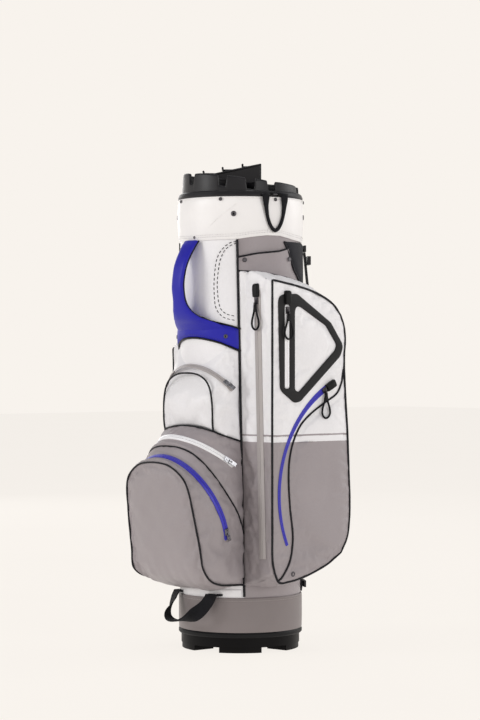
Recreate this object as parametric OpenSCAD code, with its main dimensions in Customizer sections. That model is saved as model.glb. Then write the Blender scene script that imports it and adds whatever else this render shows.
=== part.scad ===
// Golf cart bag: a fabric tube on a moulded base, with a stepped fourteen way club organizer,
// a front stack of three pockets, two side pockets, handles, zips and a carry strap.
// Millimetres. +Z is up, the front of the bag faces -Y, and the origin is the centre of the
// base on the ground. Angles round the tube are measured from the front (-Y) towards +X.

/* [Tube] */
// Outer radius of the fabric tube
tube_r = 112; // [110:0.5:113]
// Wall of the fabric tube with its liner
tube_wall = 2.5; // [2:0.1:3]
// Height of the top edge of the collar
collar_top = 832; // [830:1:836]
// Height of the collar band
collar_h = 80; // [70:1:84]
// Thickness of the padded collar band
collar_wall = 4.8; // [4:0.1:5]

/* [Base] */
// Height of the feet
foot_h = 10; // [8:0.5:12]
// Radius of the moulded base
base_r = 110; // [108:0.5:110.5]
// Number of feet
foot_count = 5; // [4:1:6]
// Height of the base band above the trim ring
band_h = 64; // [55:1:66]

/* [Organizer] */
// Mean height of the rim of the organizer above the ground
rim_top = 868; // [864:1:872]
// Slope of the rim, as rise over run
rim_slope = 0.113; // [0:0.01:0.13]
// Turn of the organizer in the tube
organizer_yaw = 50; // [45:1:55]
// Depth of the shaft notches in the rim
notch_depth = 19; // [12:1:22]

/* [Pockets] */
// How far the ball pocket's front panel stands from the axis at its foot
ball_reach = 175; // [170:1:180]
// Half width of the ball pocket's front panel
ball_half_w = 100; // [95:1:102]
// How far the right side pocket's panel stands from the axis
side_reach = 174; // [172:1:176]
// How far the left side pocket's panel stands from the axis
left_reach = 150; // [145:1:155]

/* [Hidden] */
$fn = 96;

gap = 0.2;                          // clearance between pieces that only touch
far = 400;                          // longer than any cut needs
ring_z0 = 27.5;                     // underside of the trim ring
ring_z1 = 37;                       // top of the trim ring
ring_r = 115;                       // outer radius of the trim ring
band_r = tube_r + gap + 2.2;        // outer radius of the base band
collar_r = tube_r + gap + collar_wall;
tube_in = tube_r - tube_wall;       // inner radius of the tube
spigot_r = tube_in - gap;           // the base plugs into the tube
wall_r = tube_in - 0.7;             // outer radius of the organizer wall
wall_t = 3;                         // organizer wall thickness
skirt_z = 806;                      // underside of the organizer
floor_z = 29;                       // foot of the dividers
rim_h = 11;                         // height of the rim ring
notch_angles = [-92, -57, -18, 10, 32, 78, 108, 140, 172, 204, 236];
spoke_angles = [-74.5, -37.5, -4, 21, 55, 93, 124, 156, 188, 220, 252];
core_x0 = -70;                      // the raised core of the organizer, in its own frame
core_x1 = 38.5;
core_y0 = -28;
core_y1 = 30;
core_splits = [-33, 4];
seam_angle = 50;                    // seams between the front and side modules
black = "#1b1b1d";
white = "#ecebed";
grey = "#a39b99";
blue = "#3d39b4";
silver = "#9a9b9f";

// [centre, tilt from vertical, radius, first angle, last angle, half width] of the arched zips
arc_ball = [[0, -141, 254], 24.5, 118.4, -19, 199, 5.5];
arc_mid = [[0, -83, 330], 51.6, 104.6, 17, 163, 5];
arc_upper = [[0, -65.2, 430.7], 31.9, 111.1, 36, 144, 5];
// the curved zip on the right side pocket lies flat on the panel: [y, z, radius, angles]
curve_zip = [165, 290, 220, 119, 204];
tape_t = 2.2;                       // thickness of a sealed zip tape
long_top = [131, 640];              // ends of the long zip, as x and z
long_foot = [146, 176];
long_y = -70;
frame_zip_y = -37;
frame_zip_z = [484, 631];
left_zip_y = 8;
left_zip_z = [200, 520];

function organizer_rim(x) = rim_top - rim_slope * x;

module ring(r_in, r_out, z0, z1) {
    translate([0, 0, z0]) difference() {
        cylinder(r = r_out, h = z1 - z0);
        translate([0, 0, -1]) cylinder(r = r_in, h = z1 - z0 + 2);
    }
}

// a curved plate on the tube between two angles
module arc_band(r_in, r_out, z0, z1, a0, a1) {
    rotate([0, 0, a0 - 90]) rotate_extrude(angle = a1 - a0)
        translate([r_in, z0]) square([r_out - r_in, z1 - z0]);
}

// an outline of x and z points, extruded from y0 to y1
module front_outline(points, y0, y1) {
    translate([0, y1, 0]) rotate([90, 0, 0]) linear_extrude(y1 - y0) polygon(points);
}

// an outline of y and z points, extruded from x0 to x1
module side_outline(points, x0, x1) {
    translate([x0, 0, 0]) rotate([90, 0, 90]) linear_extrude(x1 - x0) polygon(points);
}

function mirrored(points) =
    concat(points, [for (i = [len(points) - 1:-1:0]) [-points[i][0], points[i][1]]]);

// places children on the tube wall, with their +Z pointing outwards and +X down
module on_wall(a, r, z) {
    translate([0, 0, z]) rotate([0, 0, a - 90]) translate([r, 0, 0]) rotate([0, 90, 0]) children();
}

// the plane of an arched zip, with +Y up the slope
module arc_plane(arc) {
    translate(arc[0]) rotate([90 + arc[1], 0, 0]) children();
}

// places children on an arched zip, with +Z outwards and +X trailing down the tape
module on_arc(arc, a) {
    arc_plane(arc) rotate([0, 0, a]) translate([arc[2], 0, 0])
        multmatrix([[0, 0, 1, 0], [-1, 0, 0, 0], [0, -1, 0, 0]]) children();
}

// places children on the front wall of the right pocket, on the long zip
module on_long(s) {
    lean = atan2(long_foot[0] - long_top[0], long_top[1] - long_foot[1]);
    translate([long_top[0] + s * sin(lean), long_y, long_top[1] - s * cos(lean)])
        rotate([0, -lean, 0])
        multmatrix([[0, 1, 0, 0], [0, 0, -1, 0], [-1, 0, 0, 0]]) children();
}

module on_right_panel(y, z, x = side_reach) {
    translate([x, y, z]) rotate([0, 90, 0]) children();
}

module on_left_panel(y, z) {
    translate([-left_reach, y, z])
        multmatrix([[0, 0, -1, 0], [0, -1, 0, 0], [-1, 0, 0, 0]]) children();
}

// ---------------------------------------------------------------- base and tube

module base_tray() {
    color(black) difference() {
        union() {
            translate([0, 0, foot_h]) cylinder(r = base_r, h = ring_z0 - foot_h);
            for (k = [0:foot_count - 1])
                arc_band(64, base_r - 1.5, 0, foot_h + 1,
                    seam_angle - 21 + k * 360 / foot_count, seam_angle + 21 + k * 360 / foot_count);
            cylinder(r = 24, h = foot_h + 1);
        }
        translate([0, 0, foot_h + 4]) cylinder(r = spigot_r - 3, h = 60);
    }
}

// foam in the recess of the tray, which the clubs stand on
module base_pad() {
    color("#3a3a3c") translate([0, 0, foot_h + 4 + gap])
        cylinder(r = spigot_r - 3 - gap, h = ring_z0 - foot_h - 4 - 2 * gap);
}

// collar of the base, plugged into the foot of the tube
module base_socket() {
    color(black) ring(spigot_r - 3, spigot_r, ring_z0 + gap, ring_z0 + 36);
}

module base_trim_ring() {
    color(black) rotate_extrude() polygon([
        [spigot_r + gap, ring_z0 + gap], [ring_r - 2, ring_z0 + gap], [ring_r, ring_z0 + 2.5],
        [ring_r, ring_z1 - 2.5], [ring_r - 1.5, ring_z1], [spigot_r + gap, ring_z1]]);
}

module base_band() {
    color(grey) ring(tube_r + gap, band_r, ring_z1 + gap, ring_z1 + gap + band_h);
}

module tube_shell() {
    color(white) ring(tube_in, tube_r, ring_z1 + gap, collar_top - gap);
}

module collar_band() {
    color(white) difference() {
        ring(tube_r + gap, collar_r, collar_top - collar_h, collar_top - gap);
        for (a = [-140, -44, 44, 140]) on_wall(a, tube_r - 2, 800) cylinder(r = 2.2, h = 12, $fn = 32);
    }
}

module collar_rivets() {
    color(silver) for (a = [-140, -44, 44, 140]) on_wall(a, 0, 800) rotate_extrude($fn = 48)
        polygon([[0, tube_r + 0.6], [2, tube_r + 0.6], [2, collar_r + gap], [6, collar_r + gap],
            [5, collar_r + 1.6], [2.2, collar_r + 2.4], [0, collar_r + 2.4]]);
}

module rim_ring() {
    color(black) rotate_extrude() polygon([
        [wall_r + gap, collar_top], [collar_r - 1, collar_top], [collar_r - 0.5, collar_top + 3],
        [collar_r - 3, collar_top + rim_h - 2], [collar_r - 6, collar_top + rim_h],
        [wall_r + gap, collar_top + rim_h]]);
}

module rim_screws() {
    color(silver) for (k = [0:6]) on_wall(32 + k * 51.43, collar_r + gap, collar_top - 5)
        difference() {
            cylinder(r1 = 3.4, r2 = 2.2, h = 1.8, $fn = 32);
            translate([0, 0, 0.8]) cylinder(r = 1.2, h = 2, $fn = 6);
        }
}

// ---------------------------------------------------------------- club organizer

module organizer_frame() {
    rotate([0, 0, organizer_yaw]) children();
}

// everything under the sloping rim plane, lowered by drop
module under_rim(drop = 0) {
    reach = 130;
    front_outline([[-reach, 700], [reach, 700], [reach, organizer_rim(reach) - drop],
        [-reach, organizer_rim(-reach) - drop]], -reach, reach);
}

module organizer_wall() {
    color(black) organizer_frame() difference() {
        intersection() {
            union() {
                ring(wall_r - wall_t, wall_r, skirt_z, collar_top + rim_h);
                translate([0, 0, collar_top + rim_h]) difference() {
                    cylinder(r1 = wall_r, r2 = wall_r - 3, h = 50);
                    translate([0, 0, -1]) cylinder(r1 = wall_r - wall_t, r2 = wall_r - wall_t - 3, h = 52);
                }
            }
            under_rim();
        }
        for (a = notch_angles) rotate([0, 0, a]) translate([0, -wall_r + 12, 0])
            front_outline([for (p = [[-5.5, 0], [5.5, 0], [9.5, 30], [-9.5, 30]])
                [p[0], p[1] + organizer_rim(wall_r * sin(a)) - notch_depth]], -20, 0);
    }
}

// radial walls from the core to radius r
module spokes_2d(r, t, core_gap) {
    difference() {
        for (a = spoke_angles) rotate(a) translate([-t / 2, -r]) square([t, r]);
        translate([core_x0 - core_gap, core_y0 - core_gap])
            square([core_x1 - core_x0 + 2 * core_gap, core_y1 - core_y0 + 2 * core_gap]);
        circle(r = 26);
    }
}

module core_2d(t) {
    difference() {
        translate([core_x0, core_y0]) square([core_x1 - core_x0, core_y1 - core_y0]);
        cuts = concat([core_x0], core_splits, [core_x1]);
        for (i = [0:2]) translate([cuts[i] + (i == 0 ? t : t / 2), core_y0 + t])
            square([cuts[i + 1] - cuts[i] - (i == 1 ? t : 1.5 * t), core_y1 - core_y0 - 2 * t]);
    }
}

module organizer_grid() {
    steps = [[core_x0 - 1, 884], [core_splits[0], 884], [core_splits[0], 891],
        [core_splits[1], 891], [core_splits[1], 897], [core_x1 + 1, 897]];
    color(black) organizer_frame() {
        intersection() {
            translate([0, 0, skirt_z + gap]) linear_extrude(100) spokes_2d(wall_r - wall_t - gap, 2.6, -1);
            under_rim(4);
            union() {
                cylinder(r = wall_r - wall_t - gap, h = collar_top + rim_h);
                translate([0, 0, collar_top + rim_h])
                    cylinder(r1 = wall_r - wall_t - gap, r2 = wall_r - wall_t - gap - 3, h = 50);
            }
        }
        intersection() {
            translate([0, 0, skirt_z + gap]) linear_extrude(100) core_2d(2.8);
            union() {
                front_outline(concat([[core_x0 - 1, 700]], steps, [[core_x1 + 1, 700]]),
                    core_y0 + 2.8, core_y1 + 1);
                front_outline([[core_x0 - 1, 700], [core_x0 - 1, 873], [core_x1 + 1, 897],
                    [core_x1 + 1, 700]], core_y0 - 1, core_y0 + 2.8);
            }
        }
    }
}

module divider_panels() {
    t = 1.6;
    cuts = concat([core_x0 + t + gap], core_splits, [core_x1 - t - gap]);
    color("#4a4a4e") organizer_frame() translate([0, 0, floor_z]) linear_extrude(skirt_z - gap - floor_z) {
        spokes_2d(spigot_r - 3.2, t, 0.5);
        for (y = [core_y0, core_y1 - t]) translate([core_x0, y]) square([core_x1 - core_x0, t]);
        for (x = cuts) translate([x - t / 2, core_y0 + t + gap])
            square([t, core_y1 - core_y0 - 2 * (t + gap)]);
    }
}

module stiffener_rods() {
    color(silver) for (a = [148, 180, 212]) translate([0, 0, floor_z]) rotate([0, 0, a - 90])
        translate([spigot_r - 5.8, 0, 0]) cylinder(r = 2.4, h = skirt_z - floor_z - 1, $fn = 32);
}

// ---------------------------------------------------------------- handles

// the grip bows out of the front of the tube, and its foot spreads into a yoke to the seams
module front_handle() {
    grip_front = [[-117, 751.8], [-128, 738], [-146, 709], [-151.5, 690], [-153.5, 673], [-152, 655],
        [-148, 637], [-141.6, 622], [-133, 611], [-124, 602], [-116, 592]];
    last = len(grip_front) - 1;
    grip = concat(grip_front, [for (i = [last:-1:0])
        [grip_front[i][0] + (i == 0 || i == last ? 6 : 11), grip_front[i][1]]]);
    bow = [[22, 751.8], [22, 738], [19.5, 709], [17.7, 673], [19, 637], [23.4, 622], [31, 611], [31, 590]];
    yoke = [[24, 613], [40, 605], [60, 600], [87, 590], [87, 551], [60, 565.5], [30, 573], [0, 575.5]];
    color(blue) difference() {
        union() {
            intersection() {
                front_outline(mirrored(bow), -180, -60);
                side_outline(grip, -100, 100);
            }
            intersection() {
                front_outline(mirrored(yoke), -180, -60);
                ring(tube_r + gap, tube_r + 6.5, 540, 625);
            }
        }
        cylinder(r = tube_r + gap, h = 900);
        for (a = [-37, 37]) on_wall(a, tube_r - 2, 577) cylinder(r = 2.2, h = 12, $fn = 32);
    }
}

module handle_rivets() {
    color(silver) for (a = [-37, 37]) on_wall(a, 0, 577) rotate_extrude($fn = 48)
        polygon([[0, tube_r + 0.6], [2, tube_r + 0.6], [2, tube_r + 6.7], [4.6, tube_r + 6.7],
            [3.8, tube_r + 8], [0, tube_r + 8.4]]);
}

// webbing loop that hangs from the rim over the collar: +X down, +Z outwards
module on_rim() {
    on_wall(82, collar_r + 3.2, collar_top + 4) children();
}

module rim_handle() {
    half = 22;
    drop = 44;
    color(black) on_rim() {
        for (s = [-1, 1]) {
            translate([0, s * half, 0]) rotate([0, 90, 0]) cylinder(r = 2.4, h = drop, $fn = 24);
            translate([-3, s * half - 8, -1.2]) cube([16, 16, 2.4]);
        }
        translate([drop, 0, 0]) rotate([0, 0, -90]) rotate_extrude(angle = 180, $fn = 64)
            translate([half, 0]) circle(r = 2.4, $fn = 24);
        translate([0, -half, 0]) rotate([-90, 0, 0]) cylinder(r = 1.2, h = 2 * half, $fn = 32);
    }
}

// two moulded lugs on the rim that carry the loop's bar
module rim_lugs() {
    color(black) difference() {
        on_rim() for (s = [-1, 1]) translate([0, s * 8 + 2.5, 0]) rotate([90, 0, 0]) linear_extrude(5)
            difference() {
                union() {
                    circle(r = 2.7, $fn = 32);
                    translate([-2.7, -6]) square([5.4, 6]);
                }
                circle(r = 1.26, $fn = 32);
            }
        cylinder(r = collar_r + gap, h = 900);
    }
}

// webbing loop sewn on above the base band, under the ball pocket
base_hinge = [0, -111, 106];        // the fold line that the loop swings on

module base_handle() {
    t = 2.4;
    color(black) translate(base_hinge) rotate([44, 0, 0]) translate([0, 0, -t / 2]) linear_extrude(t)
        difference() {
            union() {
                translate([0, -22]) scale([1, 0.75]) circle(r = 63, $fn = 96);
                translate([-63, -22]) square([126, 21.5]);
            }
            translate([0, -22]) scale([1, 0.66]) circle(r = 37, $fn = 96);
            translate([-37, -22]) square([74, 90]);
            translate([-90, -0.5]) square([180, 90]);
        }
}

// the two sewn ends of the loop, let in above the base band
module base_handle_ends() {
    color(black) for (s = [-1, 1]) difference() {
        translate([s * 50 - 12.5, base_hinge[1] - 1, base_hinge[2] - 2.5]) cube([25, 30, 5]);
        cylinder(r = tube_r + gap, h = 200);
        translate([-far, base_hinge[1] - 9, 80]) cube([2 * far, 10.8, 60]);
    }
}

// a bowed grab handle on the left of the tube, held by two plates
module side_handle() {
    color(black) rotate([0, 0, -68 + 90]) side_outline_bow();
}

module side_handle_plates() {
    color("#2c2c30") for (z = [735, 590]) on_wall(-68, tube_r + gap, z) {
        translate([-13, -12, 0]) cube([26, 24, 3]);
        translate([0, 0, 3]) cylinder(r1 = 4.5, r2 = 3, h = 2.5, $fn = 32);
    }
}

module side_outline_bow() {
    bow = [[3.6, 748], [3.6, 724], [16, 706], [22, 684], [22, 645], [16, 622], [3.6, 604], [3.6, 577]];
    outer = [for (p = bow) [tube_r + p[0] + 3.4, p[1]]];
    inner = [for (i = [len(bow) - 1:-1:0]) [tube_r + bow[i][0], bow[i][1]]];
    rotate([0, 0, 180]) translate([0, 14, 0]) rotate([90, 0, 0]) linear_extrude(28)
        difference() {
            polygon(concat(outer, inner));
            for (z = [735, 590]) translate([tube_r, z - 14]) square([3.4 + gap, 28]);
            translate([tube_r + 3.2 + gap, 731]) square([3.4, 8]);
            translate([tube_r + 3.2 + gap, 586]) square([3.4, 8]);
        }
}

// ---------------------------------------------------------------- pockets

// the space that a slider and its pull sweep along an arched zip
module arc_channel(arc) {
    arc_plane(arc) rotate([0, 0, arc[3] - 7]) rotate_extrude(angle = arc[4] - arc[3] + 10)
        translate([arc[2] - tape_t - gap, -9]) square([22, 18]);
}

module arc_disc(arc, inset, t = 1) {
    arc_plane(arc) cylinder(r = arc[2] - inset, h = t, center = true, $fn = 64);
}

// a thin plate on a leaning plane: +Y runs up the slope from [0, y, z]
module leaning_plate(y, z, lean, points, t = 1) {
    translate([0, y, z]) rotate([90 + lean, 0, 0]) linear_extrude(t, center = true) polygon(points);
}

ball_outline = [[ball_half_w - 4, -18], [ball_half_w, 0], [ball_half_w, 23], [ball_half_w - 3.5, 65],
    [ball_half_w - 6, 93], [ball_half_w - 9, 123], [ball_half_w - 17, 144], [ball_half_w - 36, 161],
    [ball_half_w - 60, 170], [0, 172]];
arc_ball_back = [[0, -111.5, 281], 32.5, 112];

// the room that the side pockets take beside the front module
module beside_seams() {
    for (s = [-1, 1]) translate([s * 200 - 120, -70, 100]) cube([240, 200, 600]);
}

module pocket_ball() {
    color(grey) difference() {
        hull() {
            leaning_plate(-ball_reach, 175, 9.65, mirrored(ball_outline));
            arc_disc(arc_ball, 2.6);
            arc_plane(arc_ball_back) cylinder(r = arc_ball_back[2], h = 0.4, center = true, $fn = 64);
            translate([-94, -74, 126]) cube([188, 2, 92]);
            translate([-60, -105, 119]) cube([120, 30, 1]);
        }
        translate([0, 0, 100]) cylinder(r = tube_r + gap, h = 400);
        arc_channel(arc_ball);
    }
}

// the slanted plane between the middle and the upper pocket
module parting_plane(lift) {
    translate([0, -74, 386.6 + lift]) rotate([-25.4, 0, 0]) children();
}

module pocket_mid() {
    color(grey) difference() {
        hull() {
            arc_plane([arc_ball_back[0] + [0, 0.6, 0.9], arc_ball_back[1], 0])
                cylinder(r = arc_ball_back[2] - 1, h = 0.4, center = true, $fn = 64);
            arc_disc(arc_mid, 2.6);
            leaning_plate(-74, 386, 64.6, mirrored([[88, 0], [80, 22], [64, 42], [40, 57], [0, 62]]), 0.4);
            translate([-90, -74, 250]) cube([180, 2, 134]);
        }
        translate([0, 0, 100]) cylinder(r = tube_r + gap, h = 400);
        arc_channel(arc_mid);
        arc_channel(arc_ball);
        beside_seams();
        translate([0, -74, 218]) rotate([32.5, 0, 0]) translate([-200, -400, -400]) cube([400, 800, 400]);
        parting_plane(0) translate([-far, -far, 0]) cube([2 * far, 2 * far, far]);
    }
}

module pocket_upper() {
    color(white) difference() {
        hull() {
            leaning_plate(-74, 387.4, 64.6, mirrored([[88, 0], [80, 22], [64, 42], [40, 57], [0, 62]]), 0.4);
            leaning_plate(-128, 418, 3, mirrored([[69, 0], [69, 40], [60, 68], [40, 84], [0, 88]]));
            arc_disc(arc_upper, 2.6);
            arc_band(tube_r, tube_r + 1.5, 548, 549, -seam_angle + 3, seam_angle - 3);
            translate([-88, -74, 390]) cube([176, 2, 150]);
        }
        translate([0, 0, 100]) cylinder(r = tube_r + gap, h = 600);
        parting_plane(0.6) translate([-far, -far, -far]) cube([2 * far, 2 * far, far]);
        beside_seams();
        arc_channel(arc_upper);
        arc_channel(arc_mid);
    }
}

right_side = [[-62, 150], [-53, 133], [-29, 134], [8.5, 141], [40, 151], [65, 161], [98, 181],
    [113, 207], [119, 240], [120, 274], [117, 333], [114, 398], [110, 451], [106, 517], [106, 545],
    [109, 569], [107, 592], [100, 612], [84, 633], [56, 649], [22, 661], [-12, 668], [-46, 674], [-70, 678]];
right_plan = [[86, -69.4], [168, -69.4], [side_reach, -64], [side_reach, 112], [168, 119], [92, 76], [60, 0]];

module pocket_right() {
    top_shell = [[60, 100], [side_reach + 1, 100], [side_reach + 1, 676], [118, 694], [60, 702]];
    color(white) difference() {
        intersection() {
            translate([0, 0, 100]) linear_extrude(620) polygon(right_plan);
            side_outline(concat(right_side, [[-75, 700], [-75, 150]]), 60, side_reach);
            front_outline(top_shell, -140, 140);
        }
        translate([0, 0, 100]) cylinder(r = tube_r + gap, h = 640);
    }
}

left_plan = [[-100, -56], [-144, -42], [-left_reach, -36], [-left_reach, 98], [-144, 104], [-92, 76]];

module pocket_left() {
    left_side = [[-56, 150], [-40, 132], [60, 140], [96, 170], [104, 220], [104, 500], [92, 548],
        [50, 562], [-56, 566]];
    color(grey) difference() {
        intersection() {
            translate([0, 0, 100]) linear_extrude(500) polygon(left_plan);
            side_outline(left_side, -left_reach, -60);
        }
        translate([0, 0, 100]) cylinder(r = tube_r + gap, h = 640);
    }
}

// grey slip-in pocket on the tube above the right side pocket
module slip_pocket() {
    color(grey) difference() {
        intersection() {
            arc_band(tube_r + gap, tube_r + 3, 670, collar_top - collar_h - gap, seam_angle + 1, 128);
            front_outline([[60, 700], [112, 682], [130, 672], [130, 733], [60, 724]], -200, 200);
        }
        back_outline(0.5);
    }
}

module slip_snaps() {
    color(silver) for (a = [[54, 716], [101, 719]]) on_wall(a[0], tube_r + 3 + gap, a[1])
        cylinder(r1 = 4.2, r2 = 3.2, h = 2, $fn = 32);
}

module drain_eyelet() {
    color(silver) on_right_panel(-22, 148, side_reach + gap) difference() {
        cylinder(r1 = 4.8, r2 = 4, h = 1.2, $fn = 32);
        translate([0, 0, -1]) cylinder(r = 2.2, h = 4, $fn = 32);
    }
}

module back_outline(grow) {
    edge = [[110.5, 760], [106, 716], [94, 682], [84, 650], [78, 610], [76, 120], [70, 90]];
    front_outline(mirrored([for (p = edge) [p[0] + grow, p[1]]]), 0, 140);
}

module back_panel() {
    color("#202022") intersection() {
        back_outline(0);
        arc_band(tube_r + gap, tube_r + 5.5, 102.5, 751.8, 92, 268);
    }
}

// ---------------------------------------------------------------- zips

module arc_tape(arc, tape_colour) {
    color(tape_colour) arc_plane(arc) rotate([0, 0, arc[3]]) rotate_extrude(angle = arc[4] - arc[3])
        translate([arc[2] - tape_t, -arc[5]]) square([tape_t, 2 * arc[5]]);
}

module zip_ball() { arc_tape(arc_ball, blue); }
module zip_mid() { arc_tape(arc_mid, white); }
module zip_upper() { arc_tape(arc_upper, grey); }

module zip_long() {
    length = norm(long_foot - long_top);
    color("#8f8986") on_long(0) translate([-22, -9, -0.4]) cube([length + 22, 18, 1.6]);
}

module zip_frame() {
    color(white) translate([side_reach + gap, frame_zip_y - 5.5, frame_zip_z[0]])
        cube([1.2, 11, frame_zip_z[1] - frame_zip_z[0]]);
}

module zip_curve() {
    color(blue) translate([side_reach + gap, curve_zip[0], curve_zip[1]]) rotate([90, 0, 90])
        rotate([0, 0, curve_zip[3]]) rotate_extrude(angle = curve_zip[4] - curve_zip[3])
        translate([curve_zip[2] - 4.5, 0]) square([9, 1.2]);
}

module zip_left() {
    color("#8f8986") translate([-left_reach - gap - 1.2, left_zip_y - 7, left_zip_z[0]])
        cube([1.2, 14, left_zip_z[1] - left_zip_z[0]]);
}

// black welded band round the triangular valuables pocket
module weld_frame() {
    outer = [[-58, 651], [-13, 653], [69, 602], [98, 566], [96, 551], [-6, 459], [-20, 457], [-53, 480]];
    color(black) translate([side_reach + gap, 0, 0]) rotate([90, 0, 90]) linear_extrude(1.4)
        difference() {
            offset(r = 5, $fn = 24) offset(delta = -5) polygon(outer);
            offset(r = 3, $fn = 24) offset(delta = -3)
                polygon([[-19, 638], [57, 597], [82, 564], [81, 556], [-10, 475], [-19, 480]]);
            translate([frame_zip_y - 6, frame_zip_z[0] - 0.5])
                square([12, frame_zip_z[1] - frame_zip_z[0] + 1]);
        }
}

// moulded cap over the closed end of a straight zip: +X down the tape
module garage() {
    difference() {
        translate([-19, -7, 0]) cube([18, 14, 6.5]);
        translate([-10, -5.6, -1]) cube([12, 11.2, 6.4]);
    }
}

module zip_garages() {
    color(black) {
        on_long(-12) translate([0, 0, 1.4]) garage();
        on_right_panel(frame_zip_y, frame_zip_z[1] + 8, side_reach + gap + 1.4) garage();
        on_curve(curve_zip[3] - 1) rotate([0, 0, curve_zip[3] - 181]) translate([0, 0, 1.6]) garage();
        on_left_panel(left_zip_y, left_zip_z[1] + 8) translate([0, 0, 1.6]) garage();
    }
}

// zip slider: +X trails down the tape, +Z is outwards, z = 0 is the tape surface; the plate
// can be turned under an upright eye where the tape runs at a slant
module slider(height = 0, turn = 0) {
    color(silver) translate([0, 0, height]) {
        rotate([0, 0, turn]) {
            translate([-7, -4.4, 0.4]) cube([13, 8.8, 1.5]);
            translate([-6, -3.2, 1.9]) cube([11, 6.4, 0.9]);
        }
        difference() {
            union() {
                translate([-3, -1.2, 2.6]) cube([7, 2.4, 1.6]);
                translate([4, 1.2, 4.2]) rotate([90, 0, 0]) cylinder(r = 2.6, h = 2.4, $fn = 32);
            }
            translate([4, 3, 4.2]) rotate([90, 0, 0]) cylinder(r = 1.4, h = 6, $fn = 32);
        }
    }
}

// cord pull: a teardrop loop with a moulded grip, hung on a cross bar in the slider's eye
module cord_pull(height = 0) {
    loop_r = 9;
    loop_x = 38;
    color(black) translate([4, 0, 4.2 + height]) {
        translate([0, -2.6, 0]) rotate([-90, 0, 0]) cylinder(r = 0.9, h = 5.2, $fn = 24);
        for (s = [-1, 1]) {
            translate([-0.9, s * 2.6 - 0.9, -0.9]) cube([8, 1.8, 1.8]);
            translate([6, s * 2.2, 0]) rotate([0, 0, s * 12.5]) rotate([0, 90, 0])
                cylinder(r = 1, h = 29, $fn = 24);
        }
        translate([5, -3.4, -1.3]) cube([5, 6.8, 2.6]);
        translate([loop_x, 0, 0]) rotate([0, 0, -102]) rotate_extrude(angle = 204, $fn = 48)
            translate([loop_r, 0]) circle(r = 1.8, $fn = 24);
    }
}

// short metal puller of the arched zips
module tab_pull() {
    color(silver) translate([4, 0, 4.2]) {
        translate([0, -2.6, 0]) rotate([-90, 0, 0]) cylinder(r = 0.9, h = 5.2, $fn = 24);
        for (s = [-1, 1]) translate([-0.9, s * 2.6 - 0.9, -0.9]) cube([6, 1.8, 1.8]);
        translate([4.6, -3.5, -0.9]) cube([9, 7, 1.8]);
    }
}

module slider_ball() { on_arc(arc_ball, arc_ball[3] + 4) slider(); }
module slider_mid() { on_arc(arc_mid, arc_mid[3] + 4) slider(); }
module slider_upper() { on_arc(arc_upper, arc_upper[3] + 4) slider(); }
module pull_ball() { on_arc(arc_ball, arc_ball[3] + 4) tab_pull(); }
module pull_mid() { on_arc(arc_mid, arc_mid[3] + 4) tab_pull(); }
module pull_upper() { on_arc(arc_upper, arc_upper[3] + 4) tab_pull(); }

face_h = 1.4;                       // height of the flat tapes above their panels
module slider_long() { on_long(0) slider(face_h); }
module pull_long() { on_long(0) cord_pull(face_h); }
module slider_frame() { on_right_panel(frame_zip_y, frame_zip_z[1] - 8) slider(face_h); }
module pull_frame() { on_right_panel(frame_zip_y, frame_zip_z[1] - 8) cord_pull(face_h); }

// places children on the curved zip at an angle of its arc: +X down, +Z outwards
module on_curve(a) {
    on_right_panel(curve_zip[0] + curve_zip[2] * cos(a), curve_zip[1] + curve_zip[2] * sin(a)) children();
}
curve_start = curve_zip[3] + 1.5;
module slider_curve() { on_curve(curve_start) slider(face_h, curve_start - 180); }
module pull_curve() { on_curve(curve_start) cord_pull(face_h); }
module slider_left() { on_left_panel(left_zip_y, left_zip_z[1] - 8) slider(face_h); }
module pull_left() { on_left_panel(left_zip_y, left_zip_z[1] - 8) cord_pull(face_h); }

// ---------------------------------------------------------------- carry strap

strap_angle = 146;

// places children in the strap's plane: x is the distance from the axis, y is the height
module strap_plane(w) {
    rotate([0, 0, strap_angle - 90]) translate([0, w / 2, 0]) rotate([90, 0, 0])
        linear_extrude(w) children();
}

module strap_line(points, t) {
    polygon(concat(points, [for (i = [len(points) - 1:-1:0]) [points[i][0] + t, points[i][1]]]));
}

module strap_webbing() {
    color(black) strap_plane(26) {
        strap_line([[119.2, 735], [121, 718], [124.5, 690], [126.5, 650.4]], 2);
        strap_line([[126.5, 309.6], [124, 250], [121, 180], [119.2, 128]], 2);
    }
}

module strap_pad() {
    color("#242426") strap_plane(48)
        strap_line([[125.6, 650], [129, 600], [131, 480], [129, 360], [125.6, 310]], 9);
}

module strap_buckles() {
    color("#2c2c30") strap_plane(34) for (p = [[124.8, 712], [127.6, 268]])
        translate(p) square([6, 16]);
}

module strap_anchors() {
    color("#2c2c30") strap_plane(36) for (z = [738, 112])
        translate([tube_r + 5.5 + gap, z - 2]) square([4, 12]);
}

base_tray();
base_pad();
base_socket();
base_trim_ring();
base_band();
tube_shell();
collar_band();
rim_ring();
organizer_wall();
organizer_grid();
divider_panels();
stiffener_rods();
rim_screws();
collar_rivets();
front_handle();
handle_rivets();
back_panel();
pocket_ball();
pocket_mid();
pocket_upper();
pocket_right();
pocket_left();
slip_pocket();
slip_snaps();
drain_eyelet();
weld_frame();
zip_garages();
zip_ball();
zip_mid();
zip_upper();
zip_long();
zip_frame();
zip_curve();
zip_left();
strap_webbing();
strap_pad();
strap_buckles();
strap_anchors();
side_handle();
side_handle_plates();
rim_handle();
rim_lugs();
base_handle();
base_handle_ends();
slider_ball();
slider_mid();
slider_upper();
slider_long();
slider_frame();
slider_curve();
slider_left();
pull_ball();
pull_mid();
pull_upper();
pull_long();
pull_frame();
pull_curve();
pull_left();
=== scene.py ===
"""Looks of the golf cart bag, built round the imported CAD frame. Points are in millimetres in the
row frame: +Z up, -Y the front, +X the large side pocket; angles turn from the front towards +X."""

import math

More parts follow.
